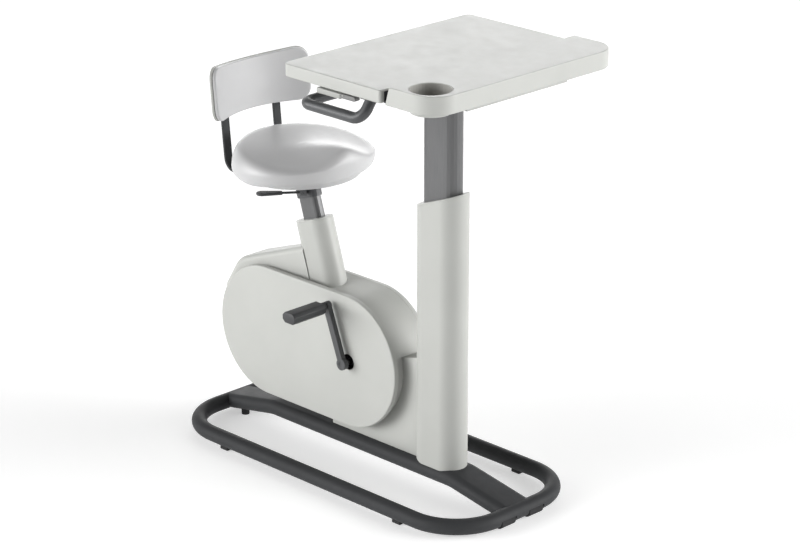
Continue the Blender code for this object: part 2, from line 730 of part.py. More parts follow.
def ridge_shape(inset=0.0):
    """The ridge's side view, extruded across with a straight taper towards the sleeve."""
    front_z = RIDGE_FRONT_Z - inset
    crest_z = front_z - RIDGE_SLOPE * (RIDGE_FRONT_X - RIDGE_CREST_X)
    rear_x = RIDGE_REAR_X + inset
    corners = [Vector((RIDGE_FRONT_X, 0.0, front_z)), Vector((RIDGE_CREST_X + inset, 0.0, crest_z)),
               Vector((rear_x, 0.0, RIDGE_REAR_Z))]
    crest = [(point.x, point.z) for point in rounded_path(corners, RIDGE_CREST_BEND, steps=4)]
    rear = (COVER_REAR_X, AXIS_Z)
    crest += arc(rear, COVER_RADIUS - inset, math.radians(160), math.radians(212), 6)
    crest.append((RIDGE_FRONT_X + math.tan(SEAT_TILT) * (front_z - AXIS_Z), AXIS_Z))
    rings = []
    for side in (-1, 1):
        ring = []
        for x, z in crest:
            half = RIDGE_REAR_HALF_WIDTH - RIDGE_TAPER * max(0.0, x - RIDGE_REAR_X) - inset
            ring.append(Vector((x, side * half, z)))
        rings.append(ring)
    shape = loft(rings)
    creases = [edge for edge in shape.edges
               if abs(edge.verts[0].co.y - edge.verts[1].co.y) < RIDGE_TAPER
               and edge.verts[0].co.y * edge.verts[1].co.y > 0
               and min(vert.co.z for vert in edge.verts) > RIDGE_REAR_Z - inset]
    bmesh.ops.bevel(shape, geom=creases, offset=RIDGE_EDGE, segments=3, profile=0.5, affect="EDGES")
    return shape


def housing_body(finish, sleeve_axis):
    """The shell between the covers, open at both sides, with the ridge and the sleeve's way through."""
    half = BODY_HALF_WIDTH
    body = place("housing_body", loft([cover_ring(BODY_RADIUS, -half), cover_ring(BODY_RADIUS, half)]), finish)
    combine(body, ridge_shape(), "UNION")
    inner = BODY_RADIUS - BODY_WALL
    combine(body, loft([cover_ring(inner, -2 * half), cover_ring(inner, 2 * half)]))
    combine(body, ridge_shape(BODY_WALL))
    combine(body, sleeve_shape(RUNNING_GAP, POST_TOP), parent=sleeve_axis)
    combine(body, pedestal_shape(RUNNING_GAP))


def fairing(finish):
    """The narrow cover over the beam between the housing and the column."""
    front = COLUMN_X
    top_front = FAIRING_TOP_Z + FAIRING_TOP_SLOPE * (front - FAIRING_TOP_X)
    top_rear = FAIRING_TOP_Z + FAIRING_TOP_SLOPE * (FAIRING_REAR_X - FAIRING_TOP_X)
    floor = BEAM_TOP + GAP

    def profile(inset):
        return [(FAIRING_REAR_X - inset, floor - inset), (front, floor - inset),
                (front, top_front - inset), (FAIRING_REAR_X - inset, top_rear - inset)]

    half = FAIRING_HALF_WIDTH
    cover = place("fairing", loft([upright(profile(0.0), -half), upright(profile(0.0), half)]), finish)
    inner = half - FAIRING_WALL
    combine(cover, loft([upright(profile(FAIRING_WALL), -inner), upright(profile(FAIRING_WALL), inner)]))
    body_outline = stadium(BODY_RADIUS + GAP, COVER_HALF_FLAT, (COVER_MIDDLE_X, AXIS_Z), LARGE_ARC_STEPS)
    combine(cover, loft([upright(body_outline, -2 * half), upright(body_outline, 2 * half)]))
    column = stadium(COLUMN_RADIUS + GAP, COLUMN_HALF_FLAT, (COLUMN_X, 0.0))
    combine(cover, loft([level(column, 0.0), level(column, COLUMN_RIM_Z)]))


# Seat sleeve, in axes that stand on its rim and lean back with it

def sleeve_ring(radius, half_flat, z):
    return level(stadium(radius, half_flat), z)


def floor_ring(radius, half_flat, world_z):
    """A ring of the sleeve where a level plane cuts it."""
    ring = []
    for x, y in stadium(radius, half_flat):
        z = (world_z - SLEEVE_TOP_Z - x * math.sin(SEAT_TILT)) / math.cos(SEAT_TILT)
        ring.append(Vector((x, y, z)))
    return ring


def sleeve_shape(grow, above):
    """The sleeve's outside, grown all round and carried on above its rim."""
    radius = SLEEVE_RADIUS + grow
    return loft([floor_ring(radius, SLEEVE_HALF_FLAT, SLEEVE_FOOT_Z - grow),
                 sleeve_ring(radius, SLEEVE_HALF_FLAT, above)])


def seat_sleeve(finish, axis):
    inner = SLEEVE_RADIUS - SLEEVE_WALL
    top = -CAP_LIP - GAP
    rings = [floor_ring(SLEEVE_RADIUS, SLEEVE_HALF_FLAT, SLEEVE_FOOT_Z),
             sleeve_ring(SLEEVE_RADIUS, SLEEVE_HALF_FLAT, top), sleeve_ring(inner, SLEEVE_HALF_FLAT, top),
             floor_ring(inner, SLEEVE_HALF_FLAT, SLEEVE_FOOT_Z)]
    place("seat_sleeve", loft(rings, tube=True), finish, axis)


def sleeve_cap(finish, axis):
    """The lid and guide at the top of the sleeve."""
    bore = (POST_RADIUS + RUNNING_GAP, POST_HALF_FLAT)
    skirt = (SLEEVE_RADIUS - SLEEVE_WALL - GAP, SLEEVE_HALF_FLAT)
    lid = (SLEEVE_RADIUS, SLEEVE_HALF_FLAT)
    rings = [sleeve_ring(*bore, 0.0), sleeve_ring(*bore, -SLEEVE_CAP_DEPTH),
             sleeve_ring(*skirt, -SLEEVE_CAP_DEPTH), sleeve_ring(*skirt, -CAP_LIP),
             sleeve_ring(*lid, -CAP_LIP), sleeve_ring(*lid, 0.0)]
    place("sleeve_cap", loft(rings, tube=True), finish, axis)


def pedestal_shape(grow=0.0):
    centre = (SLEEVE_FOOT_X, 0.0)
    outline = stadium(PEDESTAL_RADIUS + grow, PEDESTAL_HALF_FLAT, centre)
    flange = stadium(SLEEVE_RADIUS + SLEEVE_FOOT_SPREAD + grow, SLEEVE_HALF_FLAT, centre)
    top = SLEEVE_FOOT_Z - GAP + grow
    shoulder = top - SLEEVE_FOOT_FLANGE - 2 * grow
    return loft([level(outline, BEAM_TOP + GAP), level(outline, shoulder),
                 level(flange, shoulder), level(flange, top)])


def pedestal(finish):
    """The foot that carries the sleeve on the beam."""
    place("sleeve_pedestal", pedestal_shape(), finish)


def seat_gas_spring(finish, rod_finish, axis, carriage):
    """The rod stands on the pedestal and the cylinder rides up in the post."""
    flip = Matrix.Rotation(math.pi, 4, "X")
    body = gas_body(-POST_TOP, -SEAT_GAS_BORE_TOP, -SEAT_GAS_FOOT)
    body.transform(flip)
    place("seat_gas_cylinder", body, finish, carriage)
    foot = (SLEEVE_FOOT_Z - SLEEVE_TOP_Z) / math.cos(SEAT_TILT) + GAS_ROD_RADIUS * math.tan(SEAT_TILT)
    rod = gas_rod(-SEAT_PISTON - PISTON_LENGTH, -foot)
    rod.transform(flip)
    place("seat_gas_rod", rod, rod_finish, axis)


# Seat carriage, in the sleeve's axes

def seat_post(finish, carriage):
    inner = POST_RADIUS - POST_WALL
    steps = ((POST_RADIUS, POST_FOOT), (POST_RADIUS, POST_TOP), (inner, POST_TOP), (inner, POST_FOOT))
    rings = [sleeve_ring(radius, POST_HALF_FLAT, z) for radius, z in steps]
    place("seat_post", loft(rings, tube=True), finish, carriage)


def post_glide(finish, carriage):
    """The plastic shoe round the foot of the post."""
    outer = (SLEEVE_RADIUS - SLEEVE_WALL - RUNNING_GAP, SLEEVE_HALF_FLAT)
    inner = (POST_RADIUS + GAP, POST_HALF_FLAT)
    high = POST_FOOT + GLIDE_HEIGHT
    rings = [sleeve_ring(*outer, POST_FOOT), sleeve_ring(*outer, high),
             sleeve_ring(*inner, high), sleeve_ring(*inner, POST_FOOT)]
    place("post_glide", loft(rings, tube=True), finish, carriage)


def seat_head(finish, carriage, seat_level):
    """The plate under the seat pan, welded to a socket on the post, with the lever's ear."""
    outline = rounded_box((SEAT_X - HEAD_LENGTH / 2, -HEAD_WIDTH / 2),
                          (SEAT_X + HEAD_LENGTH / 2, HEAD_WIDTH / 2), HEAD_CORNER)
    plate = loft([level(outline, HEAD_Z), level(outline, HEAD_Z + HEAD_THICKNESS)])
    head = place("seat_head", plate, finish, seat_level)
    low = POST_TOP - HEAD_SOCKET
    outer = POST_RADIUS + HEAD_SOCKET_WALL
    top = HEAD_Z + HEAD_THICKNESS / 2
    socket = loft([sleeve_ring(outer, POST_HALF_FLAT, low), floor_ring(outer, POST_HALF_FLAT, top)])
    combine(head, socket, "UNION", carriage)
    bore = POST_RADIUS + GAP
    way = [sleeve_ring(bore, POST_HALF_FLAT, z) for z in (low - GAP, POST_TOP + GAP)]
    combine(head, loft(way), parent=carriage)
    combine(head, lever_ear(), "UNION", seat_level)
    combine(head, lever_slot(), "DIFFERENCE", seat_level)
    hole = lever_pin(GAP)
    hole.transform(lever_frame())
    combine(head, hole, "DIFFERENCE", seat_level)


def seat_pan(finish, seat_level):
    """The board that stiffens the cushion."""
    length = CUSHION_LENGTH / 2 - PAN_MARGIN
    width = CUSHION_WIDTH / 2 - PAN_MARGIN
    outline = [(SEAT_X + length * x, width * y) for x, y in circle(1.0, PLAN_SIDES)]
    place("seat_pan", loft([level(outline, PAN_Z), level(outline, PAN_Z + PAN_THICKNESS)]), finish, seat_level)


def cushion_height(x, y):
    """The seat's upper surface over its underside; x and y run from -1 to 1 over the plan."""
    reach = min(1.0, math.hypot(x, y))
    dish = CUSHION_DISH * (1.0 - reach ** 2) ** 2
    pommel = CUSHION_POMMEL * math.exp(-((x - 0.60) / 0.35) ** 2) * math.exp(-(y / 0.30) ** 2)
    thigh = 0.5 * CUSHION_POMMEL * max(0.0, x) * min(1.0, abs(y) / 0.5) * reach
    return CUSHION_RIM - CUSHION_FALL * x - dish + pommel - thigh


def seat_cushion(finish, seat_level):
    """A saddle-like cushion: dished behind, raised in the middle of the front, with deep round flanks."""
    plan = circle(1.0, PLAN_SIDES)
    length = CUSHION_LENGTH / 2
    width = CUSHION_WIDTH / 2

    def ring(share, height):
        return [Vector((SEAT_X + length * x * share, width * y * share, SEAT_UNDERSIDE + height(x, y)))
                for x, y in plan]

    rings = [ring(share, lambda x, y: 0.0) for share in (0.30, 0.86)]
    for share, lift in ((0.93, 0.06), (0.975, 0.20), (0.995, 0.39), (1.0, 0.55)):
        rings.append(ring(share, lambda x, y: CUSHION_RIM * lift + CUSHION_NOSE * max(0.0, x)))
    for share, drop in ((0.985, 0.26), (0.955, 0.12), (0.91, 0.04), (0.85, 0.0), (0.70, 0.0), (0.50, 0.0),
                        (0.30, 0.0), (0.10, 0.0)):
        rings.append(ring(share, lambda x, y: cushion_height(x * share, y * share) - CUSHION_RIM * drop))
    place("seat_cushion", loft(rings), finish, seat_level)


def back_point(y, z, behind):
    """A point of the backrest: curved in plan, leaning back, a distance behind its front face."""
    middle = (BACK_LOW_Z + BACK_HIGH_Z) / 2
    x = BACK_X + y ** 2 / BACK_CURVE - (z - middle) * math.tan(BACK_LEAN)
    slope = math.hypot(1.0, 2 * y / BACK_CURVE)
    return Vector((x - behind / slope, y + behind * 2 * y / BACK_CURVE / slope, z))


def back_panel(front, back, inset=0.0):
    """A curved panel between two depths behind the backrest's front face."""
    columns = 15
    half = BACK_HALF_WIDTH - inset
    low = BACK_LOW_Z + inset
    shape = bmesh.new()
    grids = []
    for depth in (front, back):
        grid = []
        for i in range(columns):
            y = half * math.sin(math.pi * (i / (columns - 1) - 0.5))
            edge = max(0.0, abs(y) - (half - BACK_CORNER)) / BACK_CORNER
            trim = BACK_CORNER * (1.0 - math.sqrt(max(0.0, 1.0 - edge ** 2)))
            foot = low + trim
            head = BACK_HIGH_Z - inset + BACK_WING_RISE * (y / BACK_HALF_WIDTH) ** 2 - trim
            heights = (foot, foot + BACK_EDGE_ROW, (foot + head) / 2, head - BACK_EDGE_ROW, head)
            grid.append([shape.verts.new(back_point(y, z, depth)) for z in heights])
        grids.append(grid)
    rows = len(grids[0][0])
    for grid in grids:
        for i in range(columns - 1):
            for j in range(rows - 1):
                shape.faces.new((grid[i][j], grid[i + 1][j], grid[i + 1][j + 1], grid[i][j + 1]))
    first, second = grids
    rim = [(i, 0) for i in range(columns)] + [(columns - 1, j) for j in range(1, rows)]
    rim += [(i, rows - 1) for i in range(columns - 2, -1, -1)] + [(0, j) for j in range(rows - 2, 0, -1)]
    for (i, j), (k, m) in zip(rim, rim[1:] + rim[:1]):
        shape.faces.new((first[i][j], first[k][m], second[k][m], second[i][j]))
    bmesh.ops.recalc_face_normals(shape, faces=shape.faces)
    return shape


def backrest(pad_finish, shell_finish, seat_level):
    pad = place("backrest_pad", back_panel(0.0, BACK_PAD_THICKNESS, BACK_PAD_INSET), pad_finish, seat_level)
    round_edges(pad, BACK_PAD_EDGE)
    front = BACK_PAD_THICKNESS + GAP
    shell = place("backrest_shell", back_panel(front, front + BACK_SHELL_THICKNESS), shell_finish, seat_level)
    round_edges(shell, BACK_SHELL_EDGE)


def backrest_upright(name, side, finish, seat_level):
    """A flat bar from behind the backrest, down and forward under the seat pan."""
    behind = BACK_PAD_THICKNESS + BACK_SHELL_THICKNESS + 2 * GAP
    y = side * UPRIGHT_Y
    inner_y = UPRIGHT_Y - UPRIGHT_WIDTH / 2
    depth_x = (behind + UPRIGHT_THICKNESS / 2) * math.hypot(1.0, 2 * inner_y / BACK_CURVE) / math.cos(BACK_LEAN)
    top = Vector((back_point(inner_y, UPRIGHT_TOP_Z, 0.0).x - depth_x, 0.0, UPRIGHT_TOP_Z))
    foot_z = PAN_Z - GAP - UPRIGHT_THICKNESS / 2
    drop = (UPRIGHT_TOP_Z - foot_z) * math.tan(BACK_LEAN)
    corners = [top, Vector((top.x + drop, 0.0, foot_z)), Vector((UPRIGHT_FRONT_X, 0.0, foot_z))]
    path = rounded_path(corners, UPRIGHT_BEND, steps=6)
    half = UPRIGHT_WIDTH / 2
    depth = UPRIGHT_THICKNESS / 2
    rings = []
    for i, point in enumerate(path):
        tangent = (path[min(i + 1, len(path) - 1)] - path[max(i - 1, 0)]).normalized()
        normal = Vector((-tangent.z, 0.0, tangent.x))
        rings.append([point + normal * n + Vector((0.0, y + w, 0.0))
                      for w, n in ((-half, -depth), (half, -depth), (half, depth), (-half, depth))])
    bar = place(name, loft(rings), finish, seat_level)
    round_edges(bar, UPRIGHT_EDGE)


def lever_frame():
    """The lever's own axes: the first along the lever, the second along its pivot."""
    return Matrix.Translation((LEVER_X, LEVER_Y, LEVER_Z)) @ Matrix.Rotation(LEVER_HEADING, 4, "Z")


def lever_ear():
    """A block under the head plate that carries the lever's pivot."""
    half = lever_half_width()
    ear = box((-half, -half, -LEVER_BOSS_RADIUS), (half, half, HEAD_Z + HEAD_THICKNESS / 2 - LEVER_Z))
    ear.transform(lever_frame())
    return ear


def lever_half_width():
    return LEVER_ROD_RADIUS + RUNNING_GAP + LEVER_CHEEK


def lever_slot():
    """The slot that leaves the ear two cheeks and a back wall."""
    half = LEVER_ROD_RADIUS + RUNNING_GAP
    top = LEVER_ROD_RADIUS + LEVER_CHEEK
    slot = box((-half, -half, -2 * LEVER_BOSS_RADIUS), (2 * lever_half_width(), half, top))
    slot.transform(lever_frame())
    return slot


def lever_pin(grow=0.0):
    """The pin across the cheeks, in the lever's own axes."""
    reach = lever_half_width() + grow
    return rod_along_y(LEVER_PIN_RADIUS + grow, -reach, reach, sides=SMALL_SIDES)


def seat_lever(finish, seat_level):
    """The height lever: a blade on a thin rod that hinges in the ear."""
    pivot = empty("seat_lever_pivot", (LEVER_X, LEVER_Y, LEVER_Z), parent=seat_level)
    pivot.rotation_euler = (0.0, 0.0, LEVER_HEADING)
    root = LEVER_ROD_LENGTH
    tip = root + LEVER_BLADE_LENGTH
    half = LEVER_BLADE_THICKNESS / 2
    outline = [(root, -LEVER_BLADE_ROOT_WIDTH / 2)]
    outline += arc((tip - LEVER_BLADE_WIDTH / 2, 0.0), LEVER_BLADE_WIDTH / 2, -math.pi / 2, math.pi / 2, 10)
    outline += [(root, LEVER_BLADE_ROOT_WIDTH / 2)]
    lever = place("seat_lever", loft([level(outline, -half), level(outline, half)]), finish, pivot)
    round_edges(lever, LEVER_EDGE)
    rod = turned([(LEVER_ROD_RADIUS, 0.0), (LEVER_ROD_RADIUS, root + LEVER_ROD_OVERLAP)], SMALL_SIDES)
    rod.transform(Matrix.Rotation(math.pi / 2, 4, "Y"))
    combine(lever, rod, "UNION")
    combine(lever, lever_pin(), "UNION")


# Crank, in axes that stand on the crank axle and turn with the right arm

def arm_outline(direction):
    """An arm from the axle to the pedal, its two round ends wider than its shank."""
    neck = math.asin(ARM_HALF_WIDTH / ARM_BOSS_RADIUS)
    tip = math.asin(ARM_HALF_WIDTH / ARM_END_RADIUS)
    quarter = math.pi / 2
    boss = arc((0.0, 0.0), ARM_BOSS_RADIUS, quarter + neck, quarter + math.tau - neck, LARGE_ARC_STEPS)
    end = arc((0.0, CRANK_LENGTH), ARM_END_RADIUS, -quarter + tip, -quarter + math.tau - tip, BEND_STEPS)
    return [(x * direction, z * direction) for x, z in boss + end]


def crank_arm(name, side, direction, finish, crank):
    outline = arm_outline(direction)
    inner = side * (ARM_OUTER_Y - ARM_THICKNESS)
    arm = place(name, loft([upright(outline, inner), upright(outline, side * ARM_OUTER_Y)]), finish, crank)
    round_edges(arm, ARM_EDGE)
    socket = sorted((inner - side * GAP, inner + side * ARM_SOCKET_DEPTH))
    combine(arm, rod_along_y(AXLE_RADIUS + GAP, *socket))
    thread = sorted((inner - side * GAP, side * (ARM_OUTER_Y + GAP)))
    centre = (0.0, CRANK_LENGTH * direction)
    combine(arm, rod_along_y(PEDAL_AXLE_RADIUS + GAP, *thread, centre, TUBE_SIDES))


def crank_axle(finish, crank):
    end = ARM_OUTER_Y - ARM_THICKNESS + ARM_SOCKET_DEPTH - GAP
    place("crank_axle", rod_along_y(AXLE_RADIUS, -end, end), finish, crank)


def drive_pulley(finish, crank):
    """The large pulley on the crank axle: a hub, a web with round windows, and a flanged rim."""
    half = PULLEY_WIDTH / 2
    web = PULLEY_WEB / 2
    bore = AXLE_RADIUS + GAP
    radius = DRIVE_PULLEY_RADIUS
    rim = radius - PULLEY_RIM
    flange = radius + BELT_THICKNESS
    profile = [(bore, -half), (PULLEY_HUB_RADIUS, -half), (PULLEY_HUB_RADIUS, -web), (rim, -web), (rim, -half),
               (flange, -half), (radius, -half + PULLEY_FLANGE), (radius, half - PULLEY_FLANGE), (flange, half),
               (rim, half), (rim, web), (PULLEY_HUB_RADIUS, web), (PULLEY_HUB_RADIUS, half), (bore, half)]
    shape = across([(r, BELT_Y + y) for r, y in profile], LARGE_SIDES, bored=True)
    pulley = place("drive_pulley", shape, finish, crank)
    hole_circle = (PULLEY_HUB_RADIUS + rim) / 2
    hole_radius = (rim - PULLEY_HUB_RADIUS) / 2 - PULLEY_HOLE_MARGIN
    for hole in range(PULLEY_HOLES):
        angle = math.tau * (hole / PULLEY_HOLES + 0.5 / LARGE_SIDES)
        centre = (hole_circle * math.cos(angle), hole_circle * math.sin(angle))
        combine(pulley, rod_along_y(hole_radius, BELT_Y - PULLEY_WEB, BELT_Y + PULLEY_WEB, centre, SMALL_SIDES))


def pedal_axle(name, side, direction, finish, crank):
    """A spindle screwed into the arm, with a shoulder that sets the pedal off."""
    inner = ARM_OUTER_Y - ARM_THICKNESS
    steps = [(PEDAL_AXLE_RADIUS, inner), (PEDAL_AXLE_RADIUS, ARM_OUTER_Y + GAP),
             (PEDAL_SHOULDER_RADIUS, ARM_OUTER_Y + GAP), (PEDAL_SHOULDER_RADIUS, PEDAL_INNER_Y - RUNNING_GAP),
             (PEDAL_AXLE_RADIUS, PEDAL_INNER_Y - RUNNING_GAP),
             (PEDAL_AXLE_RADIUS, PEDAL_OUTER_Y - PEDAL_END_WALL - RUNNING_GAP)]
    place(name, across([(r, side * y) for r, y in steps], TUBE_SIDES,
                       centre=(0.0, CRANK_LENGTH * direction)), finish, crank)


def pedal(name, side, direction, finish, crank):
    """A block pedal, bevelled to eight sides, that spins on its spindle."""
    pivot = empty(name + "_pivot", (0.0, 0.0, CRANK_LENGTH * direction), -CRANK_ANGLE, crank)
    x, z = PEDAL_LENGTH / 2, PEDAL_HEIGHT / 2
    chamfer = PEDAL_CHAMFER
    outline = [(-x, -z + chamfer), (-x + chamfer, -z), (x - chamfer, -z), (x, -z + chamfer),
               (x, z - chamfer), (x - chamfer, z), (-x + chamfer, z), (-x, z - chamfer)]
    ends = (side * PEDAL_INNER_Y, side * PEDAL_OUTER_Y)
    block = place(name, loft([upright(outline, end) for end in ends]), finish, pivot)
    round_edges(block, PEDAL_EDGE, angle=25)
    bore = sorted((side * (PEDAL_INNER_Y - PEDAL_END_WALL), side * (PEDAL_OUTER_Y - PEDAL_END_WALL)))
    combine(block, rod_along_y(PEDAL_AXLE_RADIUS + RUNNING_GAP, *bore, sides=TUBE_SIDES))


# Drive frame and flywheel, carried by the sleeve

def drive_frame(finish):
    """Two plates on the sides of the sleeve, welded to the crank shell that crosses between them."""
    outline = belt_outline((CRANK_X, AXIS_Z), PLATE_CRANK_RADIUS, (COVER_REAR_X, AXIS_Z), PLATE_FLYWHEEL_RADIUS)
    outer = PLATE_Y + PLATE_THICKNESS
    frame = place("drive_frame", loft([upright(outline, -outer), upright(outline, -PLATE_Y)]), finish)
    half = SHELL_HALF_LENGTH
    combine(frame, rod_along_y(SHELL_RADIUS, -half, half, (CRANK_X, AXIS_Z)), "UNION")
    combine(frame, loft([upright(outline, PLATE_Y), upright(outline, outer)]), "UNION")
    combine(frame, rod_along_y(SHELL_BORE_RADIUS, -half - GAP, half + GAP, (CRANK_X, AXIS_Z)))
    bore = FLYWHEEL_SHAFT_RADIUS + RUNNING_GAP
    combine(frame, rod_along_y(bore, -half, half, (COVER_REAR_X, AXIS_Z), TUBE_SIDES))


def crank_bearing(name, side, finish):
    outer = SHELL_BORE_RADIUS - GAP
    inner = AXLE_RADIUS + RUNNING_GAP
    low, high = sorted((side * SHELL_HALF_LENGTH, side * (SHELL_HALF_LENGTH - BEARING_WIDTH)))
    profile = [(inner, low), (outer, low), (outer, high), (inner, high)]
    place(name, across(profile, bored=True, centre=(CRANK_X, AXIS_Z)), finish)


def flywheel(finish, spin):
    """The heavy rim on a thin web, with a long hub between the plates."""
    half = FLYWHEEL_HALF_WIDTH
    web = FLYWHEEL_WEB / 2
    hub = PLATE_Y - RUNNING_GAP
    bore = FLYWHEEL_SHAFT_RADIUS + GAP
    rim = FLYWHEEL_RADIUS - FLYWHEEL_RIM
    profile = [(bore, -hub), (FLYWHEEL_HUB_RADIUS, -hub), (FLYWHEEL_HUB_RADIUS, -web),
               (rim, -web), (rim, -half), (FLYWHEEL_RADIUS, -half), (FLYWHEEL_RADIUS, half), (rim, half),
               (rim, web), (FLYWHEEL_HUB_RADIUS, web), (FLYWHEEL_HUB_RADIUS, hub), (bore, hub)]
    place("flywheel", across(profile, LARGE_SIDES, bored=True), finish, spin)


def flywheel_shaft(finish, spin):
    """The shaft through the plates, and the small pulley turned on its end."""
    half = PULLEY_WIDTH / 2
    flange = DRIVEN_PULLEY_RADIUS + BELT_THICKNESS
    profile = [(FLYWHEEL_SHAFT_RADIUS, -PLATE_Y - 2 * PLATE_THICKNESS), (FLYWHEEL_SHAFT_RADIUS, BELT_Y - half),
               (flange, BELT_Y - half), (DRIVEN_PULLEY_RADIUS, BELT_Y - half + PULLEY_FLANGE),
               (DRIVEN_PULLEY_RADIUS, BELT_Y + half - PULLEY_FLANGE), (flange, BELT_Y + half)]
    place("flywheel_shaft", across(profile), finish, spin)


def drive_belt(finish):
    def ring(lift):
        return belt_outline((CRANK_X, AXIS_Z), DRIVE_PULLEY_RADIUS + lift,
                            (COVER_REAR_X, AXIS_Z), DRIVEN_PULLEY_RADIUS + lift, 2 * LARGE_ARC_STEPS)

    inner = ring(RUNNING_GAP)
    outer = ring(RUNNING_GAP + BELT_THICKNESS)
    low, high = BELT_Y - BELT_WIDTH / 2, BELT_Y + BELT_WIDTH / 2
    rings = [upright(inner, low), upright(outer, low), upright(outer, high), upright(inner, high)]
    place("drive_belt", loft(rings, tube=True), finish)


def brake_magnet(finish):
    """The eddy-current brake: a block between the plates that straddles the flywheel's rim."""
    rear = COVER_REAR_X + FLYWHEEL_RADIUS - BRAKE_OVERLAP
    low = (rear, -PLATE_Y + GAP, AXIS_Z - BRAKE_HEIGHT / 2)
    high = (rear + BRAKE_LENGTH, PLATE_Y - GAP, AXIS_Z + BRAKE_HEIGHT / 2)
    magnet = place("brake_magnet", box(low, high), finish)
    slot = FLYWHEEL_HALF_WIDTH + BRAKE_AIR_GAP
    radius = FLYWHEEL_RADIUS + BRAKE_AIR_GAP
    combine(magnet, rod_along_y(radius, -slot, slot, (COVER_REAR_X, AXIS_Z), LARGE_SIDES))


# Desk

def desk_panel(finish, desk):
    outline = rounded_box((DESK_REAR_X, -DESK_HALF_WIDTH), (PANEL_FRONT_X, DESK_HALF_WIDTH),
                          PANEL_CORNER, front_radius=PANEL_FRONT_CORNER)
    panel = place("desk_panel", loft([level(outline, DESK_UNDERSIDE), level(outline, PANEL_TOP)]), finish, desk)
    round_edges(panel, PANEL_EDGE)


def ledge_ring(z, inset=0.0):
    """The ledge's outline at a height; its rear face leans forward."""
    share = (z - DESK_UNDERSIDE) / LEDGE_HEIGHT
    rear = LEDGE_REAR_FOOT_X + (LEDGE_REAR_TOP_X - LEDGE_REAR_FOOT_X) * share + inset
    half = DESK_HALF_WIDTH - inset
    outline = rounded_box((rear, -half), (LEDGE_FRONT_X - inset, half), LEDGE_REAR_CORNER,
                          BEND_STEPS, LEDGE_CORNER - inset)
    return level(outline, z)


def front_ledge(finish, desk):
    """The raised moulded ledge along the front, open below, with the cup's pocket."""
    ledge = place("front_ledge", loft([ledge_ring(DESK_UNDERSIDE), ledge_ring(LEDGE_TOP)]), finish, desk)
    round_edges(ledge, LEDGE_EDGE)
    wall = LEDGE_WALL
    combine(ledge, loft([ledge_ring(DESK_UNDERSIDE - wall, wall), ledge_ring(LEDGE_TOP - wall, wall)]))
    floor = DESK_UNDERSIDE - CUP_DROP
    pocket = turned([(CUP_RADIUS + wall - CUP_BEND, floor), (CUP_RADIUS + wall, floor + CUP_BEND),
                     (CUP_RADIUS + wall, LEDGE_TOP - wall / 2)], LARGE_SIDES)
    pocket.transform(Matrix.Translation((CUP_X, CUP_Y, 0.0)))
    combine(ledge, pocket, "UNION")
    bore = turned([(CUP_RADIUS - CUP_BEND, floor + wall), (CUP_RADIUS, floor + wall + CUP_BEND),
                   (CUP_RADIUS, LEDGE_TOP + wall)], LARGE_SIDES)
    bore.transform(Matrix.Translation((CUP_X, CUP_Y, 0.0)))
    combine(ledge, bore)


def cup_liner(finish, desk):
    """The dark liner that drops into the pocket."""
    outer = CUP_RADIUS - GAP
    inner = outer - CUP_LINER_WALL
    floor = DESK_UNDERSIDE - CUP_DROP + LEDGE_WALL + GAP
    rim = LEDGE_TOP - CUP_LINER_DROP
    steps = [(outer - CUP_BEND, floor), (outer, floor + CUP_BEND), (outer, rim), (inner, rim),
             (inner, floor + CUP_BEND), (inner - CUP_BEND, floor + CUP_LINER_WALL)]
    liner = turned(steps, LARGE_SIDES)
    liner.transform(Matrix.Translation((CUP_X, CUP_Y, 0.0)))
    place("cup_liner", liner, finish, desk)


def slot_trough(finish, desk):
    """The channel that lines the slot between the panel and the ledge."""
    lean = (LEDGE_REAR_TOP_X - LEDGE_REAR_FOOT_X) / LEDGE_HEIGHT
    low = DESK_UNDERSIDE + GAP
    high = DESK_UNDERSIDE + TROUGH_DEPTH
    rear = PANEL_FRONT_X + GAP
    foot = LEDGE_REAR_FOOT_X - 2 * GAP
    head = foot + lean * TROUGH_DEPTH
    wall = TROUGH_WALL
    outline = [(rear, low), (foot, low), (head, high), (head - wall, high),
               (foot - wall, low + wall), (rear + wall, low + wall), (rear + wall, high), (rear, high)]
    half = DESK_HALF_WIDTH - TROUGH_INSET
    place("slot_trough", loft([upright(outline, -half), upright(outline, half)]), finish, desk)


def desk_tray(finish, desk):
    """The pressed tray that joins the column to the desk top, with a shallow nose under the ledge."""
    def body(inset, top):
        outline = rounded_box((TRAY_REAR_X + inset, -TRAY_HALF_WIDTH + inset),
                              (TRAY_FRONT_X - inset, TRAY_HALF_WIDTH - inset), TRAY_CORNER - inset)
        return loft([level(outline, TRAY_FOOT + inset), level(outline, top)])

    def nose(inset, top):
        half = TRAY_HALF_WIDTH - inset
        return box((TRAY_FRONT_X - TRAY_CORNER, -half, TRAY_TOP - TRAY_NOSE_DEPTH + inset),
                   (TRAY_NOSE_X - inset, half, top))

    tray = place("desk_tray", body(0.0, TRAY_TOP), finish, desk)
    combine(tray, nose(0.0, TRAY_TOP), "UNION")
    combine(tray, body(TRAY_WALL, TRAY_TOP + TRAY_WALL))
    combine(tray, nose(TRAY_WALL, TRAY_TOP + TRAY_WALL))


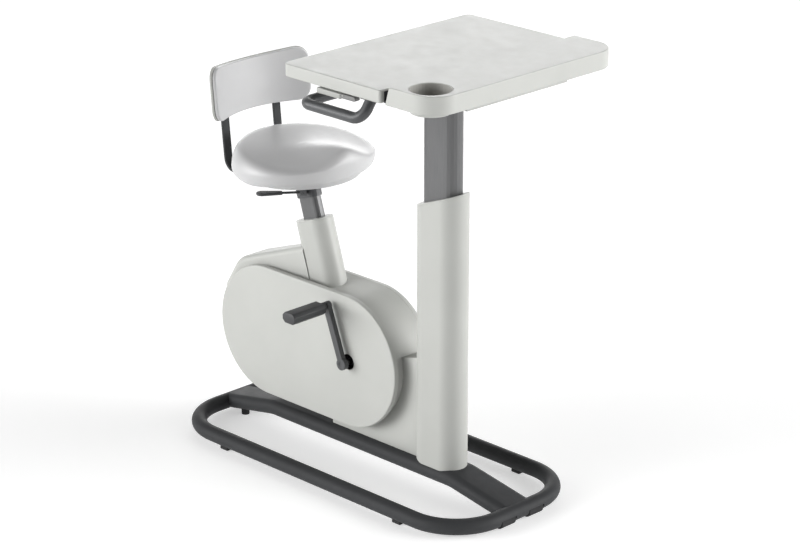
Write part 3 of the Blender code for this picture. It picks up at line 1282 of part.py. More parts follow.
def handlebar(finish, desk):
    """One bent tube: both side grips, the cross bar under the desk, and the welded front plates."""
    rise = HANDLE_DROP + HANDLE_RADIUS
    corners = []
    for side in (1, -1):
        leg = [Vector((HANDLE_FRONT_X, side * (HANDLE_Y - HANDLE_LEG_LEAN * rise), HANDLE_Z + rise)),
               Vector((HANDLE_FRONT_X, side * HANDLE_Y, HANDLE_Z)),
               Vector((HANDLE_REAR_X, side * HANDLE_Y, HANDLE_Z))]
        corners += leg if side > 0 else leg[::-1]
    bar = place("handlebar", sweep(rounded_path(corners, HANDLE_BEND), HANDLE_RADIUS), finish, desk)
    top = DESK_UNDERSIDE - GAP
    low = top - HANDLE_PLATE_THICKNESS
    front = HANDLE_FRONT_X + HANDLE_PLATE_LENGTH / 2
    outer = HANDLE_Y - HANDLE_PLATE_INSET
    for side in (-1, 1):
        reach = sorted((side * outer, side * (outer - HANDLE_PLATE_WIDTH)))
        plate = box((front - HANDLE_PLATE_LENGTH, reach[0], low),
                    (front, reach[1], top + HANDLE_PLATE_THICKNESS))
        combine(bar, plate, "UNION")
    combine(bar, box((HANDLE_REAR_X, -HANDLE_Y, top),
                     (front + HANDLE_PLATE_THICKNESS, HANDLE_Y, top + 2 * rise)))


def handlebar_clamp(name, side, finish, desk):
    """A saddle that hangs the cross bar from the tray."""
    radius = HANDLE_RADIUS + CLAMP_WALL
    top = TRAY_FOOT - GAP
    flange = top - CLAMP_FLANGE_THICKNESS
    x = HANDLE_REAR_X
    outline = arc((x, HANDLE_Z), radius, math.pi, math.tau, 12)
    outline += [(x + radius, flange), (x + radius + CLAMP_FLANGE, flange), (x + radius + CLAMP_FLANGE, top),
                (x - radius - CLAMP_FLANGE, top), (x - radius - CLAMP_FLANGE, flange), (x - radius, flange)]
    middle = side * CLAMP_Y
    ends = (middle - CLAMP_WIDTH / 2, middle + CLAMP_WIDTH / 2)
    clamp = place(name, loft([upright(outline, end) for end in ends]), finish, desk)
    combine(clamp, rod_along_y(HANDLE_RADIUS + GAP, ends[0] - GAP, ends[1] + GAP, (x, HANDLE_Z)))


def release_bracket(finish, desk):
    """The bar beside the right grip that carries the release paddle on a pin."""
    outer = -BRACKET_Y
    inner = outer + BRACKET_DEPTH
    top = DESK_UNDERSIDE - GAP
    web = inner - BRACKET_WEB
    shelf = DESK_UNDERSIDE - BRACKET_SHELF_DROP
    outline = [(outer, BRACKET_LOW_Z), (inner, BRACKET_LOW_Z), (inner, top),
               (web, top), (web, shelf), (outer, shelf)]
    bar = loft([facing(outline, BRACKET_REAR_X), facing(outline, BRACKET_FRONT_X)])
    bracket = place("release_bracket", bar, finish, desk)
    round_edges(bracket, BRACKET_EDGE)
    ear = box((BRACKET_FRONT_X - BRACKET_EAR_OVERLAP, web, BRACKET_LOW_Z),
              (PADDLE_PIVOT_X + BRACKET_EAR_MARGIN, inner, top))
    combine(bracket, ear, "UNION")
    pin = rod_along_y(PADDLE_PIN_RADIUS, outer - PADDLE_PIN_END, inner - BRACKET_WEB / 2,
                      (PADDLE_PIVOT_X, PADDLE_PIVOT_Z), SMALL_SIDES)
    combine(bracket, pin, "UNION")


def release_paddle(finish, desk):
    """The squeezed paddle that frees the desk's gas spring."""
    inner_y = -BRACKET_Y + BRACKET_DEPTH - BRACKET_WEB - RUNNING_GAP
    outer_y = inner_y - PADDLE_WIDTH
    pivot = empty("release_pivot", (PADDLE_PIVOT_X, 0.0, PADDLE_PIVOT_Z), parent=desk)
    rear = BRACKET_FRONT_X + PADDLE_REAR_GAP - PADDLE_PIVOT_X
    front = PADDLE_FRONT_X - PADDLE_PIVOT_X
    low = PADDLE_PIVOT_DROP - PADDLE_DROP
    high = PADDLE_PIVOT_DROP - PADDLE_TOP_DROP
    outline = rounded_box((rear, low), (front, high), PADDLE_REAR_CORNER, 3, PADDLE_FRONT_CORNER)
    shape = loft([upright(outline, outer_y), upright(outline, inner_y)])
    paddle = place("release_paddle", shape, finish, pivot)
    round_edges(paddle, PADDLE_EDGE)
    ends = (outer_y - PADDLE_PIN_END, inner_y + GAP)
    combine(paddle, rod_along_y(PADDLE_PIN_RADIUS + GAP, *ends, sides=SMALL_SIDES))


# The whole bike

def build():
    for obj in list(bpy.data.objects):
        bpy.data.objects.remove(obj, do_unlink=True)

    frame_grey = material("Dark grey powder coat", (0.085, 0.087, 0.090), 0.50, 0.2)
    shell_grey = material("Warm light grey paint", (0.66, 0.67, 0.65), 0.45)
    post_grey = material("Mid grey anodised tube", (0.17, 0.175, 0.18), 0.38, 0.6)
    rubber = material("Black rubber", (0.02, 0.02, 0.02), 0.85)
    plastic = material("Black plastic", (0.03, 0.03, 0.032), 0.55)
    foam = material("Pale grey foam skin", (0.72, 0.72, 0.73), 0.50)
    steel = material("Bright steel", (0.55, 0.55, 0.56), 0.30, 1.0)
    iron = material("Cast iron", (0.16, 0.16, 0.17), 0.55, 0.9)

    base_loop(frame_grey)
    centre_beam(frame_grey)
    for name, side in (("roller_right", -1), ("roller_left", 1)):
        roller(name, side, plastic)
    for name, x, y in (("foot_pad_rear_right", -PAD_X, -LOOP_HALF_WIDTH),
                       ("foot_pad_rear_left", -PAD_X, LOOP_HALF_WIDTH),
                       ("foot_pad_front_right", PAD_X, -LOOP_HALF_WIDTH),
                       ("foot_pad_front_left", PAD_X, LOOP_HALF_WIDTH)):
        foot_pad(name, x, y, rubber)
    beam_foot("beam_foot_right", -1, rubber)
    beam_foot("beam_foot_left", 1, rubber)

    desk = empty("desk_lift", (0.0, 0.0, 0.0))
    column_outer(shell_grey)
    column_cap(shell_grey)
    column_inner(post_grey, desk)
    column_glide(plastic, desk)
    desk_gas_spring(plastic, steel, desk)

    sleeve_axis = empty("sleeve_axis", (SLEEVE_TOP_X, 0.0, SLEEVE_TOP_Z), SEAT_TILT)
    side_cover("right_cover", -1, shell_grey)
    side_cover("left_cover", 1, shell_grey)
    housing_body(shell_grey, sleeve_axis)
    fairing(shell_grey)
    seat_sleeve(shell_grey, sleeve_axis)
    sleeve_cap(shell_grey, sleeve_axis)
    pedestal(frame_grey)

    drive_frame(frame_grey)
    crank_bearing("crank_bearing_right", -1, steel)
    crank_bearing("crank_bearing_left", 1, steel)
    brake_magnet(plastic)
    drive_belt(rubber)

    crank = empty("crank_centre", (CRANK_X, 0.0, AXIS_Z), CRANK_ANGLE)
    crank_axle(steel, crank)
    drive_pulley(plastic, crank)
    for hand, side, direction in (("right", -1, 1), ("left", 1, -1)):
        crank_arm("crank_arm_" + hand, side, direction, frame_grey, crank)
        pedal_axle("pedal_axle_" + hand, side, direction, steel, crank)
        pedal("pedal_" + hand, side, direction, plastic, crank)
    spin = empty("flywheel_centre", (COVER_REAR_X, 0.0, AXIS_Z))
    flywheel(iron, spin)
    flywheel_shaft(steel, spin)

    carriage = empty("seat_carriage", (SLEEVE_TOP_X, 0.0, SLEEVE_TOP_Z), SEAT_TILT)
    seat_level = empty("seat_level", (0.0, 0.0, 0.0))
    seat_post(post_grey, carriage)
    post_glide(plastic, carriage)
    seat_gas_spring(plastic, steel, sleeve_axis, carriage)
    seat_head(plastic, carriage, seat_level)
    seat_pan(plastic, seat_level)
    seat_cushion(foam, seat_level)
    backrest(foam, shell_grey, seat_level)
    backrest_upright("backrest_upright_right", -1, frame_grey, seat_level)
    backrest_upright("backrest_upright_left", 1, frame_grey, seat_level)
    seat_lever(plastic, seat_level)

    desk_panel(shell_grey, desk)
    front_ledge(shell_grey, desk)
    cup_liner(plastic, desk)
    slot_trough(plastic, desk)
    desk_tray(shell_grey, desk)
    handlebar(frame_grey, desk)
    handlebar_clamp("handlebar_clamp_right", -1, frame_grey, desk)
    handlebar_clamp("handlebar_clamp_left", 1, frame_grey, desk)
    release_bracket(shell_grey, desk)
    release_paddle(post_grey, desk)


build()
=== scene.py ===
import json
import math

import bmesh
import bpy
from mathutils import Matrix, Vector


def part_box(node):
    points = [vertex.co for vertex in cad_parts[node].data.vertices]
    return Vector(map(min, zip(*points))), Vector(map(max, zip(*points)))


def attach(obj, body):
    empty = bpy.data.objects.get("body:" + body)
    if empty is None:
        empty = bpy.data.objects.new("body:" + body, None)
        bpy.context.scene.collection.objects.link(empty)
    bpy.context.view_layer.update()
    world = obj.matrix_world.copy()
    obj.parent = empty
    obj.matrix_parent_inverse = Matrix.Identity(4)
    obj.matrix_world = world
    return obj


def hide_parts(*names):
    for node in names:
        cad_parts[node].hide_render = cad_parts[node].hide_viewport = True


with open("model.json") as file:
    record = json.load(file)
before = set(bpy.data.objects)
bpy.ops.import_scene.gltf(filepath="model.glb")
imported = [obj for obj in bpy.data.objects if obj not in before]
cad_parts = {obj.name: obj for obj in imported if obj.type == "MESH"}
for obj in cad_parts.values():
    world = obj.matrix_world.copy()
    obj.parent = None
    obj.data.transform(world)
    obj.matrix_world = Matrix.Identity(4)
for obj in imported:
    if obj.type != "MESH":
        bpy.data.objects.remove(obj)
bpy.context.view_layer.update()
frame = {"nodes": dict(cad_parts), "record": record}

# Places and sizes, in metres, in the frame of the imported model
GAP = 0.0003                     # between pieces that rest on each other
TUBE_RADIUS = 0.0225
LOOP_Z = 0.0285
LOOP_HALF_LENGTH = 0.566
LOOP_HALF_WIDTH = 0.237
LOOP_BEND = 0.154
ROLLER_X = 0.571
ROLLER_Y = 0.0545
ROLLER_Z = 0.020
ROLLER_ROOM = 0.0195             # radius of a roller's notch
STUB_ROOM = 0.0046               # radius of the notch round its stub axles
BEAM_Z = 0.065
BEAM_TOP = 0.0875
BEAM_REAR_X = -0.368
BEAM_FRONT_X = 0.355
BEAM_BEND = 0.150
BEAM_HALF_WIDTH = 0.056
COLUMN_X = 0.2805
COLUMN_RADIUS = 0.0485
COLUMN_HALF_FLAT = 0.0305
COLUMN_WALL = 0.0025
RIM_Z = 0.854
RIM_SLOPE = 0.372
INNER_RADIUS = 0.0305
COVER_RADIUS = 0.194
COVER_REAR_X = -0.3516
COVER_FRONT_X = -0.0235
AXIS_Z = 0.318
COVER_FACE = 0.075
COVER_WALL = 0.003
COVER_DEPTH = 0.015
COVER_EDGE = 0.004
CRANK_HOLE_RADIUS = 0.023
BODY_RADIUS = 0.176              # at its near end
BODY_FAR_RADIUS = 0.1937
BODY_NEAR_Y = -0.0717
BODY_FAR_Y = 0.0597
RIDGE_FRONT_X = -0.235
RIDGE_FRONT_Z = 0.596
RIDGE_SLOPE = 0.367
RIDGE_CREST_X = -0.491
RIDGE_REAR_X = -0.542
RIDGE_REAR_Z = 0.418
RIDGE_BEND = 0.080
RIDGE_HALF_WIDTH = 0.0595        # at its rear; it narrows towards the sleeve
RIDGE_TAPER = 0.060
RIDGE_TAPER_X = -0.533
RIDGE_EDGE = 0.016
FAIRING_REAR_X = -0.125
FAIRING_TOP_X = 0.208
FAIRING_TOP_Z = 0.380
FAIRING_TOP_SLOPE = 0.245
FAIRING_HALF_WIDTH = 0.030
FAIRING_WALL = 0.0025
SEAT_TILT = math.radians(17.2)
SLEEVE_TOP = Vector((-0.225025, 0.0, 0.675))
SEAT_X = -0.267025
SEAT_UNDERSIDE = 0.800
SEAT_HALF_LENGTH = 0.190
SEAT_HALF_WIDTH = 0.212
BACK_X = -0.481                  # of the backrest's front face, at its middle
BACK_MIDDLE_Z = 1.0155
BACK_LOW_Z = 0.943
BACK_HIGH_Z = 1.088
BACK_HALF_WIDTH = 0.178
BACK_CURVE = 0.560               # x grows by y squared over this
BACK_LEAN = math.radians(5.6)
BACK_CORNER = 0.036
BACK_WING_RISE = 0.015
SLEEVE_RADIUS = 0.039
SLEEVE_HALF_FLAT = 0.021
SLEEVE_WALL = 0.003
POST_ROOM_RADIUS = 0.0186        # the sleeve cap's bore
POST_HALF_FLAT = 0.019
LID_EDGE = 0.0012                # rounding of both caps' rims
CRANK_X = -0.014
CRANK_ANGLE = math.radians(20.7)
CRANK_LENGTH = 0.170
ARM_HALF_WIDTH = 0.010
ARM_BOSS_RADIUS = 0.017
ARM_END_RADIUS = 0.012
ARM_INNER_Y = 0.089
ARM_OUTER_Y = 0.104
PEDAL_HALF_LENGTH = 0.025
PEDAL_HALF_HEIGHT = 0.0155
PEDAL_CHAMFER = 0.009
PEDAL_INNER_Y = 0.124
PEDAL_OUTER_Y = 0.243
DESK_UNDERSIDE = 1.215
DESK_HALF_WIDTH = 0.350
PANEL_TOP = 1.250
PANEL_REAR_X = 0.032
PANEL_FRONT_X = 0.396
LEDGE_TOP = 1.265
LEDGE_REAR_X = 0.412
LEDGE_FRONT_X = 0.588
LEDGE_LEAN = 0.014               # of its rear face, from foot to top
LEDGE_HEIGHT = 0.050
LEDGE_CORNER = 0.075
LEDGE_WALL = 0.0035
CUP_X = 0.511
CUP_Y = -0.284
TRAY_TOP = 1.2147
TRAY_WALL = 0.002
HANDLE_RADIUS = 0.0148
HANDLE_REAR_X = 0.124
HANDLE_FRONT_X = 0.346
HANDLE_Y = 0.366
HANDLE_Z = 1.165
HANDLE_SPREAD = 0.72             # sideways run of its ends for each unit of rise
HANDLE_BEND = 0.033

SLEEVE_AXES = Matrix.Translation(SLEEVE_TOP) @ Matrix.Rotation(-SEAT_TILT, 4, "Y")
CRANK_AXES = Matrix.Translation((CRANK_X, 0.0, AXIS_Z)) @ Matrix.Rotation(-CRANK_ANGLE, 4, "Y")


# Outlines and paths

def arc(centre, radius, start, end, steps):
    """Points along an arc, with both of its ends."""
    angles = [start + (end - start) * step / steps for step in range(steps + 1)]
    return [(centre[0] + radius * math.cos(a), centre[1] + radius * math.sin(a)) for a in angles]


def circle(radius, sides=64, centre=(0.0, 0.0)):
    return arc(centre, radius, 0.0, math.tau, sides)[:-1]


def stadium(radius, half_flat, centre=(0.0, 0.0), steps=16):
    """A slot outline: two half circles joined by flats that run along the first axis."""
    front = arc((centre[0] + half_flat, centre[1]), radius, -math.pi / 2, math.pi / 2, 2 * steps)
    rear = arc((centre[0] - half_flat, centre[1]), radius, math.pi / 2, 3 * math.pi / 2, 2 * steps)
    return front + rear


def rounded_box(low, high, radius, steps=8, front_radius=None):
    """A rectangle with rounded corners. The two in front can have a radius of their own."""
    front = radius if front_radius is None else front_radius
    quarter = math.pi / 2
    corners = (
        (high[0] - front, low[1] + front, front, -quarter),
        (high[0] - front, high[1] - front, front, 0.0),
        (low[0] + radius, high[1] - radius, radius, quarter),
        (low[0] + radius, low[1] + radius, radius, 2 * quarter),
    )
    points = []
    for x, y, bend, start in corners:
        points += arc((x, y), bend, start, start + quarter, steps)
    return points


def rounded_path(points, radius, closed=False, steps=20):
    """A path through points in space, its corners rounded to one radius."""
    path = []
    count = len(points)
    for i, corner in enumerate(points):
        if not closed and i in (0, count - 1):
            path.append(corner.copy())
            continue
        back = (points[i - 1] - corner).normalized()
        ahead = (points[(i + 1) % count] - corner).normalized()
        half = back.angle(ahead) / 2
        centre = corner + (back + ahead).normalized() * radius / math.sin(half)
        start = corner + back * radius / math.tan(half) - centre
        end = corner + ahead * radius / math.tan(half) - centre
        turn = start.angle(end)
        for step in range(steps + 1):
            share = step / steps
            blend = start * math.sin((1 - share) * turn) + end * math.sin(share * turn)
            path.append(centre + blend / math.sin(turn))
    return path


def level(outline, z):
    return [Vector((x, y, z)) for x, y in outline]


def upright(outline, y):
    return [Vector((x, y, z)) for x, z in outline]


def facing(outline, x):
    return [Vector((x, y, z)) for y, z in outline]


# Solids

def loft(rings, tube=False):
    """A closed solid through rings of equal length: capped at its ends, or a tube whose ends meet."""
    shape = bmesh.new()
    loops = [[shape.verts.new(point) for point in ring] for ring in rings]
    pairs = list(zip(loops, loops[1:]))
    if tube:
        pairs.append((loops[-1], loops[0]))
    for lower, upper in pairs:
        for i in range(len(lower)):
            j = (i + 1) % len(lower)
            shape.faces.new((lower[i], lower[j], upper[j], upper[i]))
    if not tube:
        shape.faces.new(reversed(loops[0]))
        shape.faces.new(loops[-1])
    bmesh.ops.recalc_face_normals(shape, faces=shape.faces)
    return shape


def turned(profile, sides):
    """A solid turned about Z, from pairs of radius and height."""
    return loft([level(circle(radius, sides), height) for radius, height in profile])


def across(profile, centre):
    """A solid turned about a line along Y, from pairs of radius and y."""
    return loft([upright(circle(radius, centre=centre), y) for radius, y in profile])


def rod_along_y(radius, low_y, high_y, centre=(0.0, 0.0), sides=64):
    outline = circle(radius, sides, centre)
    return loft([upright(outline, low_y), upright(outline, high_y)])


def side_rod(radius, side, inner, outer, centre=(0.0, 0.0), sides=64):
    """A rod between two distances from the middle plane, on the rider's right (-1) or left (1)."""
    low_y, high_y = sorted((side * inner, side * outer))
    return rod_along_y(radius, low_y, high_y, centre, sides)


def box(low, high):
    outline = [(low[0], low[1]), (high[0], low[1]), (high[0], high[1]), (low[0], high[1])]
    return loft([level(outline, low[2]), level(outline, high[2])])


def sweep(path, radius, closed=False, sides=40):
    """A round bar along a path."""
    count = len(path)
    last = count - 1
    rings = []
    side = None
    for i, point in enumerate(path):
        behind = path[i - 1] if closed or i > 0 else point
        ahead = path[(i + 1) % count] if closed or i < last else point
        tangent = (ahead - behind).normalized()
        side = tangent.orthogonal() if side is None else side - tangent * side.dot(tangent)
        side.normalize()
        lift = tangent.cross(side)
        rings.append([point + side * x + lift * y for x, y in circle(radius, sides)])
    return loft(rings, closed)


def moved(shape, matrix):
    shape.transform(matrix)
    return shape


# Pieces

def mesh_object(name, shape):
    mesh = bpy.data.meshes.new(name)
    shape.to_mesh(mesh)
    shape.free()
    obj = bpy.data.objects.new(name, mesh)
    bpy.context.scene.collection.objects.link(obj)
    return obj


def weld_and_cut(obj, joins, cuts):
    """Weld shapes to an object and cut others away. Returns the tools, to be removed afterwards."""
    tools = []
    for operation, shapes in (("UNION", joins), ("DIFFERENCE", cuts)):
        for other in shapes:
            tool = mesh_object(obj.name + "_tool", other)
            modifier = obj.modifiers.new(operation, "BOOLEAN")
            modifier.operation = operation
            modifier.solver = "EXACT"
            modifier.object = tool
            tools.append(tool)
    return tools


def keep_result(obj, tools):
    """Give an object the mesh that its modifiers make, and remove the tools."""
    bpy.context.view_layer.update()
    graph = bpy.context.evaluated_depsgraph_get()
    final = bpy.data.meshes.new_from_object(obj.evaluated_get(graph), depsgraph=graph)
    obj.modifiers.clear()
    obj.data = final
    for tool in tools:
        bpy.data.objects.remove(tool)
    return final


def smooth(mesh, sharp):
    mesh.shade_smooth()
    mesh.set_sharp_from_angle(angle=math.radians(sharp))


def piece(name, shape, finish, body, node, cuts=(), joins=(),
          edge=0.0, segments=3, edge_angle=40, sharp=40, edge_first=False):
    """Build a piece: its shape, then what is welded on and cut away, then its rounded edges."""
    obj = mesh_object(name, shape)
    if edge and edge_first:
        bevel(obj, edge, segments, edge_angle)
    tools = weld_and_cut(obj, joins, cuts)
    if edge and not edge_first:
        bevel(obj, edge, segments, edge_angle)
    final = keep_result(obj, tools)
    final.name = name
    final.materials.clear()
    final.materials.append(finish)
    smooth(final, sharp)
    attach(obj, body)
    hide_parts(node)
    return obj


def bevel(obj, width, segments, angle):
    modifier = obj.modifiers.new("Rounded edges", "BEVEL")
    modifier.width = width
    modifier.segments = segments
    modifier.limit_method = "ANGLE"
    modifier.angle_limit = math.radians(angle)
    modifier.miter_outer = "MITER_ARC"
    modifier.use_clamp_overlap = True


def weight_normals(obj):
    modifier = obj.modifiers.new("Flat faces stay flat", "WEIGHTED_NORMAL")
    modifier.keep_sharp = True
    modifier.weight = 80


# Materials

NOISE_LOW, NOISE_HIGH = 0.3, 0.7  # most of a noise's values lie between these


class Nodes:
    """A small helper for building a material's nodes."""

    def __init__(self, name):
        self.material = bpy.data.materials.new(name)
        self.material.use_nodes = True
        self.tree = self.material.node_tree
        self.shader = self.tree.nodes["Principled BSDF"]
        self.coordinates = self.add("ShaderNodeTexCoord").outputs["Object"]

    def add(self, kind, **inputs):
        node = self.tree.nodes.new(kind)
        for key, value in inputs.items():
            node.inputs[key.replace("_", " ")].default_value = value
        return node

    def link(self, source, target):
        self.tree.links.new(source, target)

    def noise(self, scale, detail=4.0, roughness=0.55, stretch=None):
        node = self.add("ShaderNodeTexNoise", Scale=scale, Detail=detail, Roughness=roughness)
        if stretch:
            mapping = self.add("ShaderNodeMapping")
            mapping.inputs["Scale"].default_value = stretch
            self.link(self.coordinates, mapping.inputs["Vector"])
            self.link(mapping.outputs["Vector"], node.inputs["Vector"])
        else:
            self.link(self.coordinates, node.inputs["Vector"])
        return node.outputs["Fac"]

    def cells(self, scale):
        node = self.add("ShaderNodeTexVoronoi", Scale=scale)
        self.link(self.coordinates, node.inputs["Vector"])
        return node.outputs["Distance"]

    def spread(self, source, low, high):
        node = self.add("ShaderNodeMapRange")
        node.inputs["From Min"].default_value = NOISE_LOW
        node.inputs["From Max"].default_value = NOISE_HIGH
        node.inputs["To Min"].default_value = low
        node.inputs["To Max"].default_value = high
        self.link(source, node.inputs["Value"])
        return node.outputs["Result"]

    def colours(self, source, first, second):
        node = self.add("ShaderNodeValToRGB")
        node.color_ramp.elements[0].position = NOISE_LOW
        node.color_ramp.elements[0].color = (*first, 1.0)
        node.color_ramp.elements[1].position = NOISE_HIGH
        node.color_ramp.elements[1].color = (*second, 1.0)
        self.link(source, node.inputs["Fac"])
        return node.outputs["Color"]

    def bump(self, source, strength, distance, under=None):
        node = self.add("ShaderNodeBump", Strength=strength, Distance=distance)
        self.link(source, node.inputs["Height"])
        if under is not None:
            self.link(under, node.inputs["Normal"])
        return node.outputs["Normal"]


def shade(colour, factor):
    return tuple(channel * factor for channel in colour)


def painted(name, colour, roughness, grain, grain_depth, specular=0.4, metallic=0.0, variation=0.03):
    """Paint or moulded plastic: a fine grain, with slow and slight changes of colour and gloss."""
    n = Nodes(name)
    slow = n.noise(5.0, 3.0)
    tones = n.colours(slow, shade(colour, 1.0 - variation), shade(colour, 1.0 + variation))
    n.link(tones, n.shader.inputs["Base Color"])
    patches = n.noise(38.0, 5.0)
    n.link(n.spread(patches, roughness - 0.04, roughness + 0.05), n.shader.inputs["Roughness"])
    n.link(n.bump(n.noise(grain, 3.0, 0.6), 0.35, grain_depth), n.shader.inputs["Normal"])
    n.shader.inputs["Specular IOR Level"].default_value = specular
    n.shader.inputs["Metallic"].default_value = metallic
    return n.material


LIGHT = (0.437, 0.443, 0.421)
FOAM = (0.47, 0.47, 0.474)
DARK = (0.062, 0.064, 0.067)

paint = painted("Warm light grey paint", shade(LIGHT, 0.93), 0.42, 900.0, 0.00006)
shell = painted("Warm light grey moulding", LIGHT, 0.48, 1500.0, 0.00008, specular=0.42)
board = painted("Warm light grey laminate", LIGHT, 0.40, 2200.0, 0.00004, specular=0.56)
base_powder = painted("Dark grey powder coat on the base", shade(DARK, 0.62), 0.58, 2600.0, 0.00010,
                      specular=0.14, variation=0.08)
powder = painted("Dark grey powder coat", DARK, 0.44, 2600.0, 0.00010,
                 specular=0.5, metallic=0.1, variation=0.08)
mould = painted("Black moulded plastic", (0.035, 0.036, 0.038), 0.50, 1800.0, 0.00012,
                specular=0.45, variation=0.10)
rubber = painted("Black rubber", (0.022, 0.022, 0.023), 0.80, 1300.0, 0.00015,
                 specular=0.3, variation=0.15)


def brushed(name, colour, roughness, stretch, metallic=0.85):
    """Metal with fine lines along one direction."""
    n = Nodes(name)
    lines = n.noise(60.0, 6.0, 0.7, stretch)
    n.link(n.colours(lines, shade(colour, 0.88), shade(colour, 1.12)), n.shader.inputs["Base Color"])
    n.link(n.spread(lines, roughness - 0.06, roughness + 0.08), n.shader.inputs["Roughness"])
    n.link(n.bump(lines, 0.15, 0.00006), n.shader.inputs["Normal"])
    n.shader.inputs["Metallic"].default_value = metallic
    return n.material


tube_grey = brushed("Grey anodised tube", (0.125, 0.126, 0.128), 0.38, (14.0, 14.0, 0.4), 0.55)
steel = brushed("Turned steel", (0.50, 0.50, 0.51), 0.28, (1.0, 30.0, 1.0), 1.0)
black_steel = brushed("Blackened steel", (0.055, 0.055, 0.056), 0.40, (1.0, 30.0, 1.0), 0.6)
cup_grey = painted("Warm grey moulded plastic", (0.36, 0.354, 0.332), 0.48, 1800.0, 0.00010)
paddle_grey = painted("Grey moulded plastic", (0.215, 0.215, 0.212), 0.45, 1800.0, 0.00010)
iron = brushed("Machined cast iron", (0.20, 0.20, 0.205), 0.45, (1.0, 20.0, 1.0), 0.9)


def foam_skin(name, colour):
    """The moulded skin of a foam cushion: a soft pebble grain and a slight sheen."""
    n = Nodes(name)
    slow = n.noise(7.0, 3.0)
    n.link(n.colours(slow, shade(colour, 0.975), shade(colour, 1.02)), n.shader.inputs["Base Color"])
    n.link(n.spread(n.noise(50.0, 4.0), 0.34, 0.42), n.shader.inputs["Roughness"])
    pebbles = n.bump(n.cells(950.0), 0.22, 0.00012)
    n.link(n.bump(n.noise(420.0, 3.0), 0.18, 0.00012, pebbles), n.shader.inputs["Normal"])
    n.shader.inputs["Specular IOR Level"].default_value = 0.5
    n.shader.inputs["Sheen Weight"].default_value = 0.12
    return n.material


foam = foam_skin("Pale foam skin", FOAM)

SLOT_FINISH = {
    "dark_powder_coat": powder, "light_paint": paint, "light_shell": shell, "light_board": board,
    "post_tube": tube_grey, "black_rubber": rubber, "black_plastic": mould, "foam_skin": foam,
    "steel": steel, "iron": iron,
}
NODE_FINISH = {
    "pedal_axle_right": black_steel, "pedal_axle_left": black_steel, "cup_liner": cup_grey,
    "release_paddle": paddle_grey, "roller_right": rubber, "roller_left": rubber,
    "base_loop": base_powder, "centre_beam": base_powder,
    "backrest_upright_right": base_powder, "backrest_upright_left": base_powder,
}
# The nodes that no piece replaces are shown as packed, in these finishes.
for entry in frame["record"]["subparts"]:
    node = frame["nodes"][entry["node"]]
    finish = NODE_FINISH.get(entry["node"], SLOT_FINISH[entry["material_slot"]])
    for index in range(max(1, len(node.data.materials))):
        if node.data.materials:
            node.data.materials[index] = finish
        else:
            node.data.materials.append(finish)


# Base

def beam_shape(grow=0.0):
    """The arched beam, or the room for it, which is larger all round."""
    ends = [(-LOOP_HALF_LENGTH, LOOP_Z), (BEAM_REAR_X, BEAM_Z), (BEAM_FRONT_X, BEAM_Z), (LOOP_HALF_LENGTH, LOOP_Z)]
    line = rounded_path([Vector((x, 0.0, z)) for x, z in ends], BEAM_BEND, steps=12)
    section = stadium(TUBE_RADIUS + grow, BEAM_HALF_WIDTH - TUBE_RADIUS, steps=12)
    return loft([facing([(y, point.z + z) for y, z in section], point.x) for point in line])


def base():
    x, y = LOOP_HALF_LENGTH, LOOP_HALF_WIDTH
    corners = [Vector((along, side, LOOP_Z)) for along, side in ((x, -y), (x, y), (-x, y), (-x, -y))]
    roller_end, stub_end = 0.0295, 0.0375
    steps = [(STUB_ROOM, -stub_end), (STUB_ROOM, -roller_end), (ROLLER_ROOM, -roller_end),
             (ROLLER_ROOM, roller_end), (STUB_ROOM, roller_end), (STUB_ROOM, stub_end)]
    notches = [across([(radius, side * ROLLER_Y + end) for radius, end in steps], (ROLLER_X, ROLLER_Z))
               for side in (-1, 1)]
    path = rounded_path(corners, LOOP_BEND, closed=True, steps=28)
    piece("base_tube", sweep(path, TUBE_RADIUS, closed=True, sides=48), base_powder,
          "chassis", "base_loop", cuts=notches)

    cope_reach = 2 * BEAM_HALF_WIDTH
    copes = [rod_along_y(TUBE_RADIUS + GAP, -cope_reach, cope_reach, (end * LOOP_HALF_LENGTH, LOOP_Z))
             for end in (-1, 1)]
    piece("arched_beam", beam_shape(), base_powder, "chassis", "centre_beam", cuts=copes)


def rim_ring(outline, drop):
    return [Vector((COLUMN_X + x, y, RIM_Z + RIM_SLOPE * x - drop)) for x, y in outline]


def column():
    def ring(radius, drop):
        return rim_ring(stadium(radius, COLUMN_HALF_FLAT, steps=24), drop)

    def foot(radius):
        return level(stadium(radius, COLUMN_HALF_FLAT, (COLUMN_X, 0.0), 24), BEAM_Z)

    outer, inner = COLUMN_RADIUS, COLUMN_RADIUS - COLUMN_WALL
    tube_drop = 0.0033
    rings = [foot(outer), ring(outer, tube_drop), ring(inner, tube_drop), foot(inner)]
    piece("column_tube", loft(rings, True), paint, "chassis", "column_outer",
          cuts=[beam_shape(GAP)])

    lip, plate, plug, collar_foot = 0.003, 0.006, 0.030, 0.060
    plug_outer, plug_inner = COLUMN_RADIUS - 0.0028, COLUMN_RADIUS - 0.0058
    collar, bore = INNER_RADIUS + 0.0036, INNER_RADIUS + 0.0006
    rings = [ring(collar, collar_foot), ring(collar, plate), ring(plug_inner, plate), ring(plug_inner, plug),
             ring(plug_outer, plug), ring(plug_outer, lip), ring(outer, lip)]
    rings += [ring(outer - LID_EDGE * (1 - math.cos(a)), LID_EDGE * (1 - math.sin(a)))
              for a in (0.0, math.pi / 8, math.pi / 4, 3 * math.pi / 8, math.pi / 2)]
    rings += [ring(bore + LID_EDGE * (1 - math.sin(a)), LID_EDGE * (1 - math.cos(a)))
              for a in (0.0, math.pi / 4, math.pi / 2)]
    rings += [ring(bore, collar_foot)]
    piece("column_lid", loft(rings, True), shell, "chassis", "column_cap")


# Housing

def housing_outline(radius):
    middle = ((COVER_REAR_X + COVER_FRONT_X) / 2, AXIS_Z)
    return stadium(radius, (COVER_FRONT_X - COVER_REAR_X) / 2, middle, 40)


